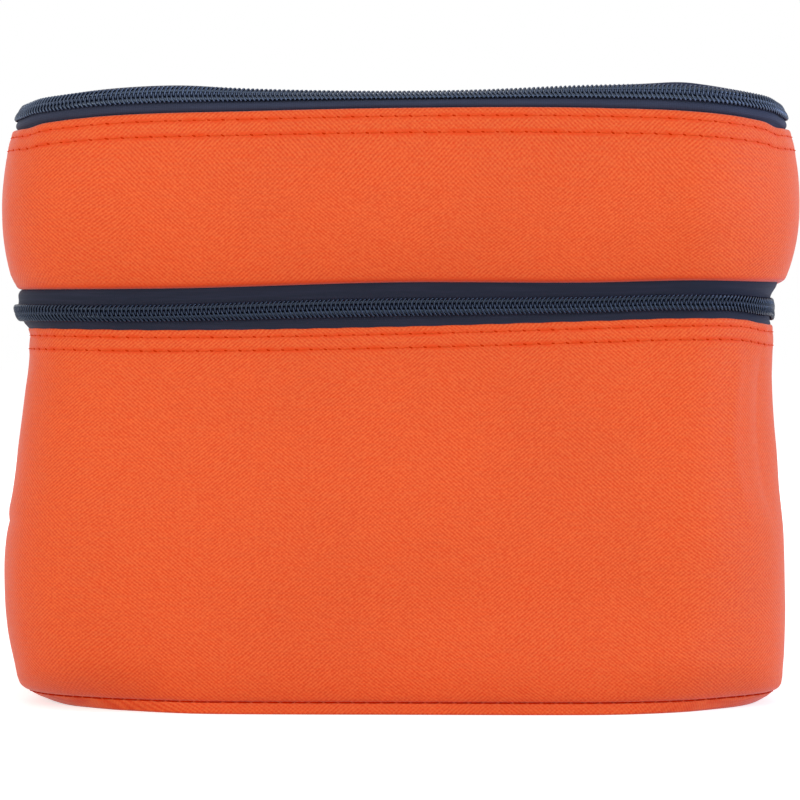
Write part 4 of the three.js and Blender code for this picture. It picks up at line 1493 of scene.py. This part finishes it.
def slider_builder(node):
    """A slider: two plates joined by a neck, lips along the outer plate and a bridge for the pull tab."""
    low, high = cad(node)
    middle = (low + high) / 2
    reach, half = (high[1] - low[1]) / 2, (high[2] - low[2]) / 2
    inner_high = low[0] + INNER_PLATE
    top = high[0] - BRIDGE_RISE
    plate_low = top - OUTER_PLATE

    def flat(a, b, out):
        return (out * MM, (middle[1] + a) * MM, (middle[2] + b) * MM)

    def side(a, out, b):
        return flat(a, b, out)

    def build(work):
        tail = half - 0.9
        nose = tail - 0.6
        shield = mirrored([(-reach, -tail), (-reach + 2.4, -half), (reach - 3.2, -half), (reach, -nose)])
        inner = [(a, b * 0.88) for a, b in shield]
        plate(work, inner, 1.2, low[0], inner_high, flat, 0.2)
        plate(work, shield, 1.4, plate_low, top, flat, 0.35)
        neck = mirrored([(-1.0, -NECK_HALF), (reach - 1.2, -NECK_HALF)])
        plate(work, neck, 0.2, inner_high - 0.1, plate_low + 0.1, flat, 0.08)
        for way in (-1, 1):
            ends = (-reach + 2.2, reach - 3.0)
            lip = [(a, way * half) for a in ends] + [(a, way * (half - LIP_WIDTH)) for a in ends[::-1]]
            plate(work, lip, 0.25, plate_low - LIP_DROP, plate_low + 0.2, flat, 0.12)
        bridge = mirrored([(-3.2, top - 0.4), (-3.1, top + 1.3), (-2.1, high[0])], (-1, 1))
        hole = mirrored([(-2.25, top - 0.3), (-2.2, top + 1.1), (-1.7, top + 1.5)], (-1, 1))
        open_ends = slice(CORNER_STEPS - 1, 1 - CORNER_STEPS)
        over, under = rounded_outline(bridge, 0.7)[open_ends], rounded_outline(hole, 0.5)[open_ends]
        arch = np.vstack([over, under[::-1]])
        plate(work, arch, 0, -BRIDGE_HALF, BRIDGE_HALF, side, 0.22)

    return build


def pull_builder(node):
    """A tapered pull tab with a slot for the bridge, a raised rib and a hole near its free end."""
    low, high = cad(node)
    mid_h = (low[2] + high[2]) / 2
    half = (high[2] - low[2]) / 2
    root, tip = high[1], low[1]

    def flat(a, b, out):
        return (out * MM, a * MM, (mid_h + b) * MM)

    def build(work):
        outline = mirrored([(root, -half), (root - 4.6, -half), (root - 9, -half * 0.62),
                            (tip + 6, -half * 0.8), (tip, -half * 0.8)])
        near, far = root - 0.9, root - 4.25
        slot = [(near, -SLOT_HALF), (near, SLOT_HALF), (far, SLOT_HALF), (far, -SLOT_HALF)]
        turn = np.linspace(0, 2 * math.pi, 17)[:-1]
        end_hole = [(tip + 3.2 + END_HOLE * math.cos(a), END_HOLE * math.sin(a)) for a in turn]
        plate(work, outline, 1.5, low[0], high[0], flat, 0.22, holes=(rounded_outline(slot, 0.6), end_hole))
        rib = [(root - 6.2, -0.55), (root - 6.2, 0.55), (tip + 6.0, 1.0), (tip + 6.0, -1.0)]
        plate(work, rib, 0.5, high[0] - 0.1, high[0] + 0.28, flat, 0.12)

    return build


for zip_name in ("mid", "top"):
    slider, pull = f"{zip_name}_zip_slider", f"{zip_name}_zip_pull"
    metal_piece(f"{zip_name}_slider_body", slider, slider_builder(slider), f"{zip_name}_slider")
    metal_piece(f"{zip_name}_pull_tab", pull, pull_builder(pull), f"{zip_name}_pull")


# Carry handle
handle_low, handle_high = cad("carry_handle")
handle_half = handle_high[0]
handle_wide = handle_high[1]


def strap_height(x, y):
    """The strap's lower face: sewn flat to the lid at its ends, with a slack shoulder near each of them."""
    t = np.clip(x / (handle_half - HANDLE_PATCH), -1, 1)
    shoulders = sum(np.exp(-(((t - at) / SHOULDER_WIDTH) ** 2)) for at in (SHOULDER_AT, -SHOULDER_AT))
    return handle_low[2] + lid_crown(x, y) + (shoulders + 0.5) * (1 - t**6)


def add_handle():
    u = np.linspace(-handle_half, handle_half, 171)
    v = np.linspace(-handle_wide, handle_wide, 27)
    grid_u, grid_v = np.meshgrid(u, v, indexing="ij")
    sewn = smooth(np.abs(grid_u), handle_half - HANDLE_PATCH - 4, handle_half - HANDLE_PATCH + 4)
    edge = np.clip((np.abs(grid_v) - handle_wide + 1.6) / 1.6, 0, 1)
    cup = 0.5 * (1 - sewn) * (grid_v / handle_wide) ** 2
    bottom = strap_height(grid_u, grid_v) - cup
    maps = {"weave": paired(grid_u, grid_v + handle_wide)}
    outer = np.stack([grid_u, grid_v, bottom + STRAP - 0.55 * edge**2], -1)
    inner = np.stack([grid_u, grid_v, bottom + 0.35 * edge**2], -1)
    mesh = sheet_mesh("carry_strap", outer, inner, maps)
    made = piece("carry_strap", mesh, WEBBING, "lid", ["carry_handle"])


def strap_line(start, end):
    """A surface for stitches on the strap from one place to another, and the distance between them."""
    start, end = np.array(start, float), np.array(end, float)
    span = np.linalg.norm(end - start)

    def surface(s):
        x, y = np.moveaxis(start + (end - start) * (s / span)[..., None], -1, 0)
        points = np.stack([x, y, strap_height(x, y) + STRAP], -1)
        return points, np.broadcast_to((0.0, 0.0, 1.0), points.shape)

    return surface, span


def add_handle_stitches():
    """A box with a cross at each sewn end of the strap."""
    wide = handle_wide - PATCH_INSET
    for side, name in ((-1, "left"), (1, "right")):
        near = side * (handle_half - HANDLE_PATCH + PATCH_INSET)
        far = side * (handle_half - PATCH_INSET)
        corners = [(near, -wide), (far, -wide), (far, wide), (near, wide)]
        runs = [(corners[k - 1], corners[k]) for k in range(4)]
        runs += [(corners[0], corners[2]), (corners[1], corners[3])]
        for k, (start, end) in enumerate(runs):
            surface, span = strap_line(start, end)
            count = max(2, int(span / PATCH_STITCH))
            at = span * (np.arange(count) + 0.5) / count
            stitches(f"strap_{name}_stitches_{k + 1}", surface, at, "lid", NAVY_THREAD, PATCH_THREAD)


add_handle()
add_handle_stitches()


# Stage
def add_camera():
    data = bpy.data.cameras.new("camera")
    data.sensor_width = SENSOR
    data.lens = SENSOR * CAMERA_DISTANCE / FRAME_WIDTH
    made = bpy.data.objects.new("camera", data)
    bpy.context.scene.collection.objects.link(made)
    made.location = (0, (FRONT_PLANE - CAMERA_DISTANCE) * MM, EYE_HEIGHT * MM)
    pitch = math.atan((EYE_HEIGHT - AIM_HEIGHT) / CAMERA_DISTANCE)
    made.rotation_euler = (math.pi / 2 - pitch, 0, 0)
    bpy.context.scene.camera = made


def add_light(name, place_at, size, power, colour):
    data = bpy.data.lights.new(name, "AREA")
    data.shape = "DISK"
    data.size = size
    data.energy = power
    data.color = colour
    made = bpy.data.objects.new(name, data)
    bpy.context.scene.collection.objects.link(made)
    made.location = place_at
    way = made.location - type(made.location)((0, 0, LIGHTS_AIM))
    made.rotation_euler = way.to_track_quat("Z", "Y").to_euler()


def add_world():
    """Even light from all round, behind a white that the camera sees."""
    world = bpy.data.worlds.new("world")
    world.use_nodes = True
    bpy.context.scene.world = world
    s = Nodes(world.node_tree)
    light = s.tree.nodes["Background"]
    s.feed(light.inputs["Color"], rgb(1.0, 1.0, 1.0))
    s.feed(light.inputs["Strength"], AMBIENT)
    white = s.node("Background", {"Color": rgb(1.0, 1.0, 1.0)})
    choose = s.node("MixShader", {"Fac": s.seen_directly(), 1: light.outputs[0], 2: white.outputs[0]})
    s.feed(s.tree.nodes["World Output"].inputs["Surface"], choose.outputs[0])


def add_floor():
    """A pale floor that the camera sees as white, apart from the bag's shadow on it."""
    half = FLOOR_HALF
    mesh = bpy.data.meshes.new("floor")
    corners = [(-half, -half, 0), (half, -half, 0), (half, half, 0), (-half, half, 0)]
    mesh.from_pydata(corners, [], [(0, 1, 2, 3)])
    s = Shader("floor", Roughness=0.9, Specular_IOR_Level=0.0, Emission_Color=rgb(1.0, 1.0, 1.0))
    s.feed(s.surface.inputs["Emission Strength"], s.sum("MULTIPLY", s.seen_directly(), FLOOR_LIFT))
    floor = piece("floor", mesh, s.finish(rgb(0.82, 0.82, 0.82)), None)
    floor.location = (0, 0, -FLOOR_DROP)


add_camera()
add_world()
for light in LIGHTS:
    add_light(*light)
add_floor()
bpy.context.scene.view_settings.view_transform = "Standard"
